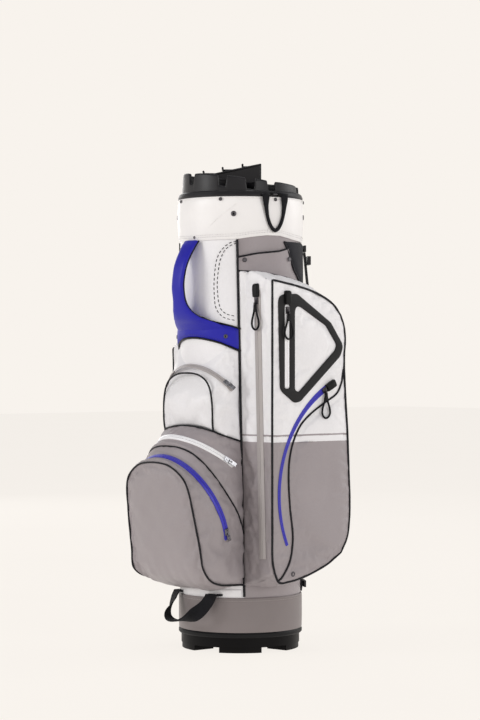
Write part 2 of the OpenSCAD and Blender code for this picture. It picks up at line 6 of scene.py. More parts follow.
import bmesh
import bpy
import numpy as np
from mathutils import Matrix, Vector


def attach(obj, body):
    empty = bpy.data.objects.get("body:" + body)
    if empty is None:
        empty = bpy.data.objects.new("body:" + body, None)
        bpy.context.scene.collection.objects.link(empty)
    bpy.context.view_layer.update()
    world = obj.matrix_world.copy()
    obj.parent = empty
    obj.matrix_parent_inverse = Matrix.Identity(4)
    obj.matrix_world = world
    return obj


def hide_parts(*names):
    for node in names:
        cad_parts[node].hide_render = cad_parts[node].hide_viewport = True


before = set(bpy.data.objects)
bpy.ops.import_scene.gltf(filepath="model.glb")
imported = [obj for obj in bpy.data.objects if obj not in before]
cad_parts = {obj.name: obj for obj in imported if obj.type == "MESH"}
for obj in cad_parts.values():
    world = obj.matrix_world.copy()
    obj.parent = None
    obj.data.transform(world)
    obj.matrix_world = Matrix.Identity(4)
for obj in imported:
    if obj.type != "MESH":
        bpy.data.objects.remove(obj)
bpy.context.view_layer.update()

MM = 0.001
BAG = "bag"
TUBE_R = 112.0

# ------------------------------------------------------------------ vector helpers


def arr(points):
    return np.array(points, dtype=float)


def unit(v):
    v = np.asarray(v, dtype=float)
    n = np.linalg.norm(v, axis=-1, keepdims=True)
    return v / np.maximum(n, 1e-9)


def outward(p):
    """The direction away from the tube's axis at each point."""
    return unit(p * arr([1, 1, 0]))


def polar(r, deg, z):
    a = math.radians(deg)
    return (r * math.sin(a), -r * math.cos(a), z)


def dense(points, closed=False, per=16):
    """A Catmull-Rom curve through the points."""
    p = arr(points)
    n = len(p)
    out = []
    spans = n if closed else n - 1
    for i in range(spans):
        if closed:
            a, b, c, d = p[(i - 1) % n], p[i], p[(i + 1) % n], p[(i + 2) % n]
        else:
            b, c = p[i], p[i + 1]
            a = p[i - 1] if i else 2 * b - c
            d = p[i + 2] if i + 2 < n else 2 * c - b
        t1 = max(np.linalg.norm(c - b), 1e-6) ** 0.5
        t0 = max(np.linalg.norm(b - a), 1e-6) ** 0.5
        t2 = max(np.linalg.norm(d - c), 1e-6) ** 0.5
        m1 = (c - b) / t1 - (c - a) / (t0 + t1) + (b - a) / t0
        m2 = (d - c) / t2 - (d - b) / (t1 + t2) + (c - b) / t1
        m1, m2 = m1 * t1, m2 * t1
        for k in range(per):
            t = k / per
            out.append((2 * t**3 - 3 * t**2 + 1) * b + (t**3 - 2 * t**2 + t) * m1
                       + (-2 * t**3 + 3 * t**2) * c + (t**3 - t**2) * m2)
    if not closed:
        out.append(p[-1])
    return arr(out)


def resample(points, n, closed=False):
    p = arr(points)
    if closed:
        p = np.vstack([p, p[:1]])
    seg = np.linalg.norm(np.diff(p, axis=0), axis=1)
    s = np.concatenate([[0], np.cumsum(seg)])
    t = np.linspace(0, s[-1], n + 1)[:-1] if closed else np.linspace(0, s[-1], n)
    return np.stack([np.interp(t, s, p[:, k]) for k in range(p.shape[1])], axis=1)


def curve(points, n, closed=False):
    return resample(dense(points, closed), n, closed)


def length_of(points, closed=False):
    p = arr(points)
    if closed:
        p = np.vstack([p, p[:1]])
    return float(np.linalg.norm(np.diff(p, axis=0), axis=1).sum())


def mirror_x(points):
    return arr(points) * arr([-1, 1, 1])


def waves(p, scale, seed, octaves=3):
    """Smooth noise in about -1..1 made of plane waves, at points p, with features of that size."""
    rng = np.random.default_rng(seed)
    p = arr(p)
    total = np.zeros(len(p))
    for o in range(octaves):
        size = scale / (1.7**o)
        for _ in range(5):
            d = unit(rng.normal(size=3))
            ph = rng.uniform(0, 2 * math.pi)
            f = 2 * math.pi / (size * rng.uniform(0.8, 1.5))
            total += np.sin(p @ d * f + ph) * (0.55**o) / 3.2
    return total


# ------------------------------------------------------------------ mesh helpers


def make(name, verts, faces, mats, body=BAG, slot=None, smooth=True, face_mats=None, sharp=None):
    me = bpy.data.meshes.new(name)
    me.from_pydata([tuple(v) for v in arr(verts) * MM], [], [tuple(int(i) for i in f) for f in faces])
    me.update()
    ob = bpy.data.objects.new(name, me)
    bpy.context.scene.collection.objects.link(ob)
    for m in mats if isinstance(mats, (list, tuple)) else [mats]:
        me.materials.append(m)
    if face_mats is not None:
        me.polygons.foreach_set("material_index", np.asarray(face_mats, dtype=np.int32))
    me.polygons.foreach_set("use_smooth", np.full(len(me.polygons), smooth))
    if sharp:
        me.set_sharp_from_angle(angle=math.radians(sharp))
    if body:
        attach(ob, body)
    return ob


class Build:
    """Collects pieces of one mesh."""

    def __init__(self):
        self.v, self.f, self.m = [], [], []

    def add(self, verts, faces, mat=0):
        base = len(self.v)
        self.v.extend(tuple(p) for p in verts)
        self.f.extend(tuple(i + base for i in f) for f in faces)
        mats = mat if isinstance(mat, (list, tuple, np.ndarray)) else [mat] * len(faces)
        self.m.extend(mats)

    def make(self, name, mats, **kw):
        return make(name, self.v, self.f, mats, face_mats=self.m, **kw)


def tube_faces(rows, cols, flip=False):
    """The faces of a closed tube of rings, capped at both ends."""
    caps = [tuple(range(cols)), tuple(reversed(range((rows - 1) * cols, rows * cols)))]
    return grid_faces(rows, cols, close_u=True, flip=flip) + caps


def grid_faces(rows, cols, close_u=False, close_v=False, flip=False):
    faces = []
    for i in range(rows if close_v else rows - 1):
        for j in range(cols if close_u else cols - 1):
            a, b = i * cols + j, i * cols + (j + 1) % cols
            c, d = ((i + 1) % rows) * cols + (j + 1) % cols, ((i + 1) % rows) * cols + j
            faces.append((d, c, b, a) if flip else (a, b, c, d))
    return faces


def frames(path, closed=False, up=None):
    """Tangents and two normals along a path, carried without twist."""
    p = arr(path)
    if closed:
        tan = unit(np.roll(p, -1, 0) - np.roll(p, 1, 0))
    else:
        tan = unit(np.gradient(p, axis=0))
    a = arr(up) if up is not None else (arr([0, 0, 1]) if abs(tan[0][2]) < 0.9 else arr([1, 0, 0]))
    n = unit(a - tan[0] * (a @ tan[0]))
    ns = []
    for t in tan:
        n = unit(n - t * (n @ t))
        ns.append(n)
    ns = arr(ns)
    if closed:
        end = unit(ns[-1] - tan[0] * (ns[-1] @ tan[0]))
        ang = math.atan2(np.cross(ns[0], end) @ tan[0], ns[0] @ end)
        for i in range(len(p)):
            a = -ang * i / len(p)
            b = np.cross(tan[i], ns[i])
            ns[i] = ns[i] * math.cos(a) + b * math.sin(a)
    return tan, ns, np.cross(tan, ns)


def sweep(path, radius, sides=8, closed=False, flat=1.0, up=None):
    """A round bead along a path. radius may be one number or one for each point."""
    p = arr(path)
    _, n, b = frames(p, closed, up)
    r = np.broadcast_to(np.asarray(radius, dtype=float), (len(p),))
    verts = []
    for i in range(len(p)):
        for k in range(sides):
            a = 2 * math.pi * k / sides
            verts.append(p[i] + r[i] * (n[i] * math.cos(a) + b[i] * math.sin(a) * flat))
    faces = grid_faces(len(p), sides, close_u=True, close_v=closed, flip=True)
    if not closed:
        faces.append(tuple(range(sides)))
        faces.append(tuple(reversed(range((len(p) - 1) * sides, len(p) * sides))))
    return verts, faces


def band(path, across, half, thick, closed=False, crown=0.0, edge=0.35):
    """A flat strip along a path. across is its width direction at each point, half its half width."""
    p = arr(path)
    if closed:
        tan = unit(np.roll(p, -1, 0) - np.roll(p, 1, 0))
    else:
        tan = unit(np.gradient(p, axis=0))
    w = np.broadcast_to(arr(across), p.shape)
    w = unit(w - tan * np.sum(w * tan, axis=1, keepdims=True))
    n = np.cross(tan, w)
    h = np.broadcast_to(np.asarray(half, dtype=float), (len(p),))
    e = edge * thick
    sect = [(-1, 0, 0), (-1, e, 1), (-0.985, thick - e, 1), (-0.94, thick, 1), (-0.5, thick + crown * 0.8, 0),
            (0, thick + crown, 0), (0.5, thick + crown * 0.8, 0), (0.94, thick, 1), (0.985, thick - e, 1),
            (1, e, 1), (1, 0, 0), (0, 0, 0)]
    verts = []
    for i in range(len(p)):
        for u, hgt, _ in sect:
            verts.append(p[i] + w[i] * (u * h[i]) + n[i] * hgt)
    faces = grid_faces(len(p), len(sect), close_u=True, close_v=closed, flip=True)
    if not closed:
        faces.append(tuple(range(len(sect))))
        faces.append(tuple(reversed(range((len(p) - 1) * len(sect), len(p) * len(sect)))))
    return verts, faces


def stitches(path, build, gap=2.2, dash=3.0, radius=0.45, lift=0.3, normals=None, mat=0, closed=False):
    """A row of raised threads along a path."""
    total = length_of(path, closed)
    count = max(2, int(total / (gap + dash)))
    fine = resample(path, count * 8 + (0 if closed else 1), closed)
    nn = None if normals is None else resample(normals, len(fine), False)
    for k in range(count):
        seg = fine[k * 8:k * 8 + 6]
        if len(seg) < 4:
            continue
        seg = resample(seg, 4)
        if nn is not None:
            out = unit(nn[k * 8 + 2])
            seg = seg + out * (arr([0.0, 1.0, 1.0, 0.0])[:, None] * lift)
        v, f = sweep(seg, [radius * 0.7, radius, radius, radius * 0.7], 5)
        build.add(v, f, mat)


def profile_ring(profile, a0=0, a1=360, step=3.0):
    """Turns an (r, z) outline round the tube's axis."""
    full = a1 - a0 >= 360
    n = int(round((a1 - a0) / step)) + (0 if full else 1)
    verts = []
    for i in range(n):
        a = a0 + (a1 - a0) * i / (n if full else n - 1)
        verts += [polar(r, a, z) for r, z in profile]
    faces = grid_faces(n, len(profile), close_u=True, close_v=full, flip=True)
    if not full:
        faces.append(tuple(range(len(profile))))
        faces.append(tuple(reversed(range((n - 1) * len(profile), n * len(profile)))))
    return verts, faces


def place(points, origin, x, y, z):
    """Local points to the row frame, for a frame with those axes."""
    p = arr(points)
    return arr(origin) + p[:, :1] * arr(x) + p[:, 1:2] * arr(y) + p[:, 2:3] * arr(z)


# ------------------------------------------------------------------ materials


def srgb(r, g, b):
    def lin(c):
        c /= 255
        return c / 12.92 if c <= 0.04045 else ((c + 0.055) / 1.055) ** 2.4
    return (lin(r), lin(g), lin(b), 1.0)


class Mat:
    """A Principled material in object coordinates, so that it needs no UV map."""

    def __init__(self, name, roughness=0.5, metallic=0.0, specular=0.5, sheen=0.0, coat=0.0):
        self.m = bpy.data.materials.new(name)
        self.m.use_nodes = True
        self.t = self.m.node_tree
        self.bsdf = self.t.nodes["Principled BSDF"]
        self.bsdf.inputs["Roughness"].default_value = roughness
        self.bsdf.inputs["Metallic"].default_value = metallic
        self.bsdf.inputs["Specular IOR Level"].default_value = specular
        self.bsdf.inputs["Sheen Weight"].default_value = sheen
        self.bsdf.inputs["Coat Weight"].default_value = coat
        self.coord = self.t.nodes.new("ShaderNodeTexCoord").outputs["Object"]
        self.heights = []

    def node(self, kind, **values):
        n = self.t.nodes.new(kind)
        for key, value in values.items():
            if key in n.inputs:
                n.inputs[key].default_value = value
            else:
                setattr(n, key, value)
        return n

    def link(self, a, b):
        self.t.links.new(a, b)

    def noise(self, scale, detail=3.0, stretch=None):
        n = self.node("ShaderNodeTexNoise")
        n.inputs["Scale"].default_value = scale
        n.inputs["Detail"].default_value = detail
        if stretch:
            mp = self.node("ShaderNodeMapping")
            mp.inputs["Scale"].default_value = stretch
            self.link(self.coord, mp.inputs["Vector"])
            self.link(mp.outputs["Vector"], n.inputs["Vector"])
        else:
            self.link(self.coord, n.inputs["Vector"])
        return n.outputs["Fac"]

    def cells(self, scale, feature="F1"):
        n = self.node("ShaderNodeTexVoronoi")
        n.feature = feature
        n.inputs["Scale"].default_value = scale
        self.link(self.coord, n.inputs["Vector"])
        return n.outputs["Distance"]

    def wave(self, scale, direction, turn=(0, 0, 0), distort=0.0):
        mp = self.node("ShaderNodeMapping")
        mp.inputs["Rotation"].default_value = turn
        self.link(self.coord, mp.inputs["Vector"])
        n = self.node("ShaderNodeTexWave")
        n.bands_direction = direction
        n.inputs["Scale"].default_value = scale
        n.inputs["Distortion"].default_value = distort
        self.link(mp.outputs["Vector"], n.inputs["Vector"])
        return n.outputs["Fac"]

    def math(self, op, a, b):
        n = self.node("ShaderNodeMath")
        n.operation = op
        for i, v in enumerate((a, b)):
            if isinstance(v, (int, float)):
                n.inputs[i].default_value = v
            else:
                self.link(v, n.inputs[i])
        return n.outputs[0]

    def ramp(self, fac, stops):
        n = self.node("ShaderNodeValToRGB")
        e = n.color_ramp.elements
        while len(e) < len(stops):
            e.new(0.5)
        for el, (pos, col) in zip(e, stops):
            el.position = pos
            el.color = col
        self.link(fac, n.inputs["Fac"])
        return n.outputs["Color"]

    def colour(self, out):
        self.link(out, self.bsdf.inputs["Base Color"])

    def rough(self, fac, lo, hi):
        n = self.node("ShaderNodeMapRange")
        n.inputs["To Min"].default_value = lo
        n.inputs["To Max"].default_value = hi
        self.link(fac, n.inputs["Value"])
        self.link(n.outputs["Result"], self.bsdf.inputs["Roughness"])

    def bump(self, height, strength, distance):
        n = self.node("ShaderNodeBump")
        n.inputs["Strength"].default_value = strength
        n.inputs["Distance"].default_value = distance
        self.link(height, n.inputs["Height"])
        if self.heights:
            self.link(self.heights[-1], n.inputs["Normal"])
        self.heights.append(n.outputs["Normal"])
        self.link(n.outputs["Normal"], self.bsdf.inputs["Normal"])


def tint(c, k):
    return (min(1, c[0] * k), min(1, c[1] * k), min(1, c[2] * k), 1.0)


def coated_fabric(name, col, rough=0.42, weave=0.25):
    """Sealed polyester: a fine weave under a satin coating, with a slow unevenness."""
    m = Mat(name, roughness=rough, specular=0.45, sheen=0.08)
    slow = m.noise(9.0, 4.0)
    fine = m.noise(240.0, 2.0)
    mix = m.math("ADD", m.math("MULTIPLY", slow, 0.7), m.math("MULTIPLY", fine, 0.3))
    m.colour(m.ramp(mix, [(0.3, tint(col, 0.93)), (0.55, col), (0.8, tint(col, 1.05))]))
    m.rough(slow, rough - 0.07, rough + 0.1)
    a = m.wave(520.0, "X", (0.0, 0.0, 0.5))
    b = m.wave(520.0, "Z")
    m.bump(m.math("MULTIPLY", a, b), weave, 0.00035)
    m.bump(m.noise(55.0, 3.0), 0.12, 0.0012)
    return m.m


def leatherette(name, col, rough=0.4, grain=330.0, specular=0.45, coat=0.08):
    m = Mat(name, roughness=rough, specular=specular, coat=coat)
    m.bsdf.inputs["Coat Roughness"].default_value = 0.35
    slow = m.noise(14.0, 4.0)
    m.colour(m.ramp(slow, [(0.25, tint(col, 0.94)), (0.6, col), (0.85, tint(col, 1.04))]))
    m.rough(slow, rough - 0.06, rough + 0.08)
    m.bump(m.cells(grain), 0.22, 0.0004)
    m.bump(m.noise(70.0, 4.0), 0.12, 0.0008)
    return m.m


def plastic(name, col, rough=0.42, grain=900.0, worn=1.8, specular=0.3):
    """Moulded plastic: spark grain and a lighter rub here and there."""
    m = Mat(name, roughness=rough, specular=specular)
    rub = m.noise(28.0, 6.0)
    m.colour(m.ramp(rub, [(0.4, col), (0.62, tint(col, 1.25)), (0.78, tint(col, worn))]))
    m.rough(rub, rough - 0.1, rough + 0.14)
    m.bump(m.noise(grain, 2.0), 0.18, 0.0004)
    return m.m


def metal(name, col, rough=0.28):
    m = Mat(name, roughness=rough, metallic=1.0)
    n = m.noise(120.0, 4.0)
    m.colour(m.ramp(n, [(0.35, tint(col, 0.8)), (0.7, tint(col, 1.15))]))
    m.rough(n, rough - 0.08, rough + 0.15)
    m.bump(m.noise(700.0, 2.0), 0.08, 0.0003)
    return m.m


def webbing(name, col, rough=0.7):
    m = Mat(name, roughness=rough, specular=0.15, sheen=0.04)
    a = m.wave(300.0, "DIAGONAL", (0.2, 0.3, 0.0))
    b = m.wave(300.0, "DIAGONAL", (0.2, 0.3, 1.5708))
    w = m.math("MAXIMUM", a, b)
    m.colour(m.ramp(m.math("MULTIPLY", w, m.noise(60.0, 3.0)), [(0.1, tint(col, 0.6)), (0.5, tint(col,
                                                                      1.6))]))
    m.bump(w, 0.5, 0.0008)
    return m.m


def air_mesh(name, col):
    m = Mat(name, roughness=0.8, specular=0.15, sheen=0.05)
    c = m.cells(640.0)
    m.colour(m.ramp(c, [(0.15, tint(col, 0.35)), (0.45, tint(col, 1.7))]))
    m.bump(c, 0.5, 0.0006)
    m.bump(m.noise(30.0, 3.0), 0.1, 0.002)
    return m.m


def thread(name, col):
    m = Mat(name, roughness=0.6, specular=0.3, sheen=0.2)
    m.colour(m.ramp(m.noise(900.0, 2.0), [(0.3, tint(col, 0.8)), (0.7, tint(col, 1.1))]))
    m.bump(m.wave(900.0, "DIAGONAL"), 0.4, 0.0003)
    return m.m


def rubber(name, col, rough=0.5, specular=0.3):
    m = Mat(name, roughness=rough, specular=specular)
    n = m.noise(40.0, 5.0)
    m.colour(m.ramp(n, [(0.3, tint(col, 0.85)), (0.6, col), (0.8, tint(col, 1.5))]))
    m.rough(n, rough - 0.08, rough + 0.12)
    m.bump(m.noise(500.0, 3.0), 0.15, 0.0005)
    return m.m


WHITE = srgb(236, 235, 238)
GREY = srgb(155, 147, 150)

mat_white = coated_fabric("fabric_white", WHITE, 0.36)
mat_grey = coated_fabric("fabric_grey", GREY, 0.42)
mat_collar = leatherette("leatherette_white", srgb(240, 238, 238), 0.38)
# Grey leatherette of the base band. Its colour is darkened below the band's own tone to hold painted shade:
# the shadow that the pockets above cast on it.
mat_band_painted_shade = leatherette("leatherette_grey_painted_shade", srgb(129, 121, 121), 0.46, specular=0.3)
mat_blue = leatherette("leatherette_blue", srgb(36, 35, 164), 0.42, specular=0.22, coat=0.03)
mat_piping = rubber("piping_black", srgb(15, 15, 22), 0.42, 0.25)
mat_plastic = plastic("plastic_black", srgb(26, 25, 28), 0.4, specular=0.3)
mat_base = plastic("plastic_base", srgb(7, 6, 7), 0.45, worn=1.4, specular=0.12)
mat_rubber = rubber("rubber_black", srgb(12, 12, 14), 0.5, 0.22)
mat_zip_blue = coated_fabric("zip_blue", srgb(52, 48, 178), 0.38, 0.15)
mat_zip_white = coated_fabric("zip_white", srgb(243, 243, 246), 0.3, 0.15)
mat_zip_grey = coated_fabric("zip_grey", srgb(174, 168, 167), 0.34, 0.15)
mat_zip_line = coated_fabric("zip_line", srgb(110, 104, 102), 0.4, 0.15)
mat_metal = metal("metal_gunmetal", srgb(96, 94, 98), 0.3)
mat_silver = metal("metal_nickel", srgb(176, 176, 180), 0.24)
mat_web = webbing("webbing_black", srgb(18, 18, 22))
mat_mesh = air_mesh("air_mesh_black", srgb(33, 33, 37))
mat_liner = coated_fabric("liner_black", srgb(26, 26, 30), 0.7)
mat_divider = air_mesh("divider_fabric", srgb(28, 28, 32))
mat_thread_w = thread("thread_white", srgb(225, 223, 224))
mat_thread_g = thread("thread_grey", srgb(120, 113, 110))
mat_thread_k = thread("thread_black", srgb(22, 22, 26))
mat_weld = rubber("welded_film_black", srgb(18, 18, 21), 0.4, 0.3)
mat_thread_b = thread("thread_blue", srgb(40, 38, 120))
mat_thread_g2 = thread("thread_grey_pale", srgb(176, 170, 166))
mat_zip_line_b = coated_fabric("zip_line_blue", srgb(36, 34, 110), 0.4, 0.15)
mat_cord = webbing("pull_cord_black", srgb(16, 16, 20))

# ------------------------------------------------------------------ tube and its fabric


def seam_deg(z):
    """The angle of the seam between the front and the side modules at that height."""
    return 47.0 + (755.0 - np.asarray(z, dtype=float)) / 637.0 * 6.5


def on_tube(r, deg, z):
    a = np.radians(deg)
    return np.stack([r * np.sin(a), -r * np.cos(a), np.asarray(z, dtype=float) + 0 * a], axis=-1)


def tube_fabric():
    z0, z1, rows = 37.5, 831.5, 130
    front, rest = 44, 104
    zs = np.linspace(z0, z1, rows)
    grid = []
    for z in zs:
        s = float(seam_deg(z))
        a = np.concatenate([np.linspace(-s, s, front + 1)[:-1], np.linspace(s, 360 - s, rest + 1)[:-1]])
        grid.append(on_tube(np.full(len(a), TUBE_R), a, np.full(len(a), z)))
    cols = front + rest
    p = arr(grid).reshape(-1, 3)
    out = outward(p)
    p = p + out * (0.35 * waves(p, 90, 3) + 0.12 * waves(p, 22, 4) - 0.1)[:, None]
    inner = p.reshape(rows, cols, 3)[::-1].reshape(-1, 3).copy()
    inner = outward(inner) * 109.75 + inner * arr([0, 0, 1])
    verts = np.vstack([p, inner])
    faces = grid_faces(2 * rows, cols, close_u=True, close_v=True)
    mats = []
    for i in range(2 * rows):
        for j in range(cols):
            outer = i < rows - 1
            mats.append((0 if j < front else 1) if outer else 2)
    ob = make("tube_fabric", verts, faces, [mat_white, mat_grey, mat_liner], slot="tube_fabric",
              face_mats=mats)
    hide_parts("tube_shell")


def bead(name, path, radius=1.7, mat=None, body=BAG, slot=None, closed=False, sides=8):
    """Piping: a round bead with a slight unevenness along it."""
    p = arr(path)
    r = radius * (1 + 0.05 * waves(p, 14, 11))
    v, f = sweep(p, r, sides, closed)
    return make(name, v, f, mat or mat_piping, body=body, slot=slot)


def seam_pipings():
    for side, tag in ((1, "right"), (-1, "left")):
        z = np.linspace(753, 103.4, 130)
        p = on_tube(np.full(len(z), 113.6), side * seam_deg(z), z)
        bead("seam_piping_" + tag, p, 2.3)


def collar_bottom(deg):
    a = (np.asarray(deg, dtype=float) + 180) % 360 - 180
    return np.interp(a, [-180, -130, -88, -60, -47, 0, 47, 60, 75, 90, 108, 135, 180],
                     [752, 752, 758, 757, 754.5, 752, 754, 758, 761.5, 761, 755.5, 752, 752])


def collar():
    n = 216
    prof = [(112.35, 0.0), (113.6, -0.002), (114.6, 0.012), (115.0, 0.05), (115.6, 0.12), (116.4, 0.25),
            (116.9, 0.42), (117.0, 0.6), (116.7, 0.78), (116.1, 0.9), (115.2, 0.965), (114.0, 0.995),
            (112.35, 1.0)]
    verts = []
    for i in range(n):
        a = 360.0 * i / n
        lo = float(collar_bottom(a))
        verts += [polar(r, a, lo + (831.6 - lo) * t) for r, t in prof]
    p = arr(verts)
    out = outward(p)
    puff = np.tile([0, .1, .2, .4, .6, 1, 1, 1, 1, .7, .3, .1, 0], n)
    p = p + out * ((0.55 * waves(p, 70, 21) + 0.2 * waves(p, 20, 22)) * puff)[:, None]
    ob = make("collar_band_soft", p, grid_faces(n, len(prof), close_u=True, close_v=True, flip=True),
              mat_collar,
              slot="collar_leatherette", sharp=50)
    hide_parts("collar_band")
    b = Build()
    for lift in (5.6, 9.2):
        a = np.linspace(0, 360, 721)[:-1]
        z = collar_bottom(a) + lift
        r = 115.45 + 0.1 * lift
        stitches(on_tube(np.full(len(a), r), a, z), b, 2.0, 3.2, 0.42, closed=True)
    b.make("collar_stitches", mat_thread_w)
    fold = [on_tube(r, a, z) for r, a, z in ((115.2, 12.5, 762), (116.6, 22, 779), (117.15, 33, 798),
                                             (117.1, 43, 813), (115.9, 50.5, 826))]
    v, f = sweep(curve(fold, 50), 0.32, 5)
    make("collar_fold", v, f, mat_collar)
    v, f = profile_ring([(115.25, 829.2), (116.1, 829.4), (116.3, 830.6), (115.6, 831.7), (114.8, 831.7)])
    make("collar_top_binding", v, f, mat_collar, smooth=True)


def rivet(build, origin, out, scale):
    """A domed rivet with a sunk, darker eye."""
    prof = [(0, -0.4), (3.3, -0.4), (3.5, 0.3), (3.1, 1.1), (2.2, 1.45), (1.5, 1.2), (1.15, 0.7), (1.0, 0.2)]
    eye = [(0, 0.15), (1.05, 0.15), (1.05, 0.5), (0.6, 0.62), (0, 0.62)]
    side = unit(np.cross([0, 0, 1], out))
    n = 28
    for outline, mat in ((prof, 0), (eye, 1)):
        m = len(outline)
        verts = []
        for i in range(n):
            a = 2 * math.pi * i / n
            verts += [(max(r, 0.02) * math.cos(a) * scale, max(r, 0.02) * math.sin(a) * scale, h * scale)
                      for r, h in outline]
        faces = grid_faces(n, m, close_u=True, close_v=True, flip=True)
        build.add(place(verts, origin, side, [0, 0, 1], out), faces, mat)


def rivets():
    b = Build()
    for deg in (-44, 44, -140, 140):
        rivet(b, polar(116.6, deg, 800), unit(arr(polar(1, deg, 0))), 1.45)
    ob = b.make("collar_rivet_caps", [mat_metal, mat_rubber], slot="hardware", sharp=50)
    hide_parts("collar_rivets")
    b = Build()
    rivet(b, polar(115.1, 3, 758.5), unit(arr(polar(1, 3, 0))), 0.8)
    b.make("collar_front_rivet", [mat_metal, mat_rubber], slot="hardware", sharp=50)
    b = Build()
    for deg in (-37, 37):
        rivet(b, polar(117.7, deg, 577), unit(arr(polar(1, deg, 0))), 1.15)
    ob = b.make("handle_rivet_caps", [mat_metal, mat_rubber], slot="hardware", sharp=50)
    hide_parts("handle_rivets")


# ------------------------------------------------------------------ organizer

YAW = math.radians(50)
CORE_X = (-70.0, 38.5)
CORE_Y = (-28.0, 30.0)
NOTCHES = (-92, -57, -18, 10, 32, 78, 108, 140, 172, 204, 236)
SPOKES = (-74.5, -37.5, -4, 21, 55, 93, 124, 156, 188, 220, 252)


def yawed(p):
    p = arr(p)
    c, s = math.cos(YAW), math.sin(YAW)
    return np.stack([p[..., 0] * c - p[..., 1] * s, p[..., 0] * s + p[..., 1] * c, p[..., 2]], axis=-1)


def rim_z(x):
    return 868.0 - 0.113 * x


def organizer_rim():
    step = 0.5
    angles = np.arange(0, 360, step)
    order = sorted(a % 360 for a in NOTCHES)
    verts = []
    for a in angles:
        top = rim_z(107 * math.sin(math.radians(a)))
        near = min(abs((a - n + 180) % 360 - 180) for n in order) * math.radians(106)
        cut = min(1.0, max(0.0, (9.8 - near) / 4.0))
        cut = cut * cut * (3 - 2 * cut)
        crown = 1.6 * min(1.0, near / 22.0)
        top = top + crown - 1.2 - 19.0 * cut

        def r_out(z):
            return 108.8 - max(0.0, z - 843) * 0.06
        prof = [(108.8, 806.5), (108.8, 843), (r_out(top - 4), top - 4), (r_out(top) - 0.3, top - 1.3),
                (r_out(top) - 1.3, top - 0.2), (r_out(top) - 2.6, top), (r_out(top) - 3.9, top - 0.4),
                (r_out(top) - 4.8, top - 1.6), (r_out(top) - 4.6, top - 4), (104.9, 843), (105.3, 806.5)]
        t = math.radians(a)
        verts += [(r * math.sin(t), -r * math.cos(t), z) for r, z in prof]
    p = yawed(verts)
    ob = make("organizer_rim", p, grid_faces(len(angles), 11, close_u=True, close_v=True, flip=True),
              mat_plastic,
              slot="rim_plastic", sharp=48)
    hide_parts("organizer_wall")


def organizer_lips():
    b = Build()
    x0, x1 = CORE_X
    y0, y1 = CORE_Y

    def step(x):
        return 884.0 if x < -33 else (891.0 if x < 4 else 897.0)
    ridge = [(x0 - 0.5, y0 + 1.4, 873.5)] + [(x, y0 + 1.4 - 1.2 * math.sin(math.pi * (x - x0) / (x1 - x0)),
                                              873.5 + 23.5 * ((x - x0) / (x1 - x0)) ** 0.95)
                                             for x in np.linspace(x0 + 5, x1 - 1.5, 22)]
    b.add(*sweep(yawed(curve(ridge, 70)), 2.1, 10))
    for y in (y1 - 1.4,):
        for a, c in ((x0, -33), (-33, 4), (4, x1)):
            z = step((a + c) / 2)
            b.add(*sweep(yawed([(a + 1.6, y, z), ((a + c) / 2, y, z), (c - 1.4, y, z)]), 2.0, 10))
    for x, z in ((x0 + 1.4, 884), (-33, 891), (4, 897), (x1 - 1.4, 897)):
        pts = [(x, y, z) for y in np.linspace(y0 + 3.2, y1 - 1.4, 8)]
        b.add(*sweep(yawed(pts), 2.0, 10))
    for x in (x1 - 1.4,):
        b.add(*sweep(yawed([(x, y0 + 1.4, z) for z in np.linspace(862, 897, 8)]), 1.9, 10))
    for a in SPOKES:
        t = math.radians(a)
        d = arr([math.sin(t), -math.cos(t)])
        hits = []
        for lo, hi, k in ((x0, x1, 0), (y0, y1, 1)):
            if abs(d[k]) > 1e-6:
                hits.append(max(lo / d[k], hi / d[k]))
        start = min(hits)
        pts = []
        for s in np.linspace(start, 104.0, 16):
            x, y = d * s
            sag = 2.0 * math.sin(math.pi * (s - start) / (104.0 - start))
            pts.append((x, y, rim_z(x) - 4.0 - sag * 0.4))
        b.add(*sweep(yawed(pts), 2.1, 10))
    b.make("organizer_lips", mat_plastic, slot="rim_plastic")


# ------------------------------------------------------------------ front module

ARC_BALL = ((0, -141, 254), 24.5, 118.4, -19, 199, 5.5)
ARC_MID = ((0, -83, 330), 51.6, 104.6, 17, 163, 5.0)
ARC_UPPER = ((0, -65.2, 430.7), 31.9, 111.1, 36, 144, 5.0)


def arc_point(arc, a, r=0.0, w=0.0):
    """A point on an arched zip: r above its tape, w across it towards the slope's outside."""
    (cx, cy, cz), tilt, radius = arc[0], math.radians(arc[1]), arc[2]
    a = np.radians(a)
    u = (radius + r) * np.cos(a)
    v = (radius + r) * np.sin(a)
    st, ct = math.sin(tilt), math.cos(tilt)
    return np.stack([cx + u, cy - v * st - w * ct, cz + v * ct - w * st], axis=-1)


def both(right):
    """A curve from the right seam over the middle to the left seam."""
    p = arr(right)
    return np.vstack([p, mirror_x(p[:-1])[::-1]])


COLS = 97


def key(right, smooth=True):
    p = both(right)
    return curve(p, COLS) if smooth else resample(p, COLS)


def arc_half(arc, start, under=1.6):
    return [arc_point(arc, a, -under) for a in np.linspace(start, 90, 12)]


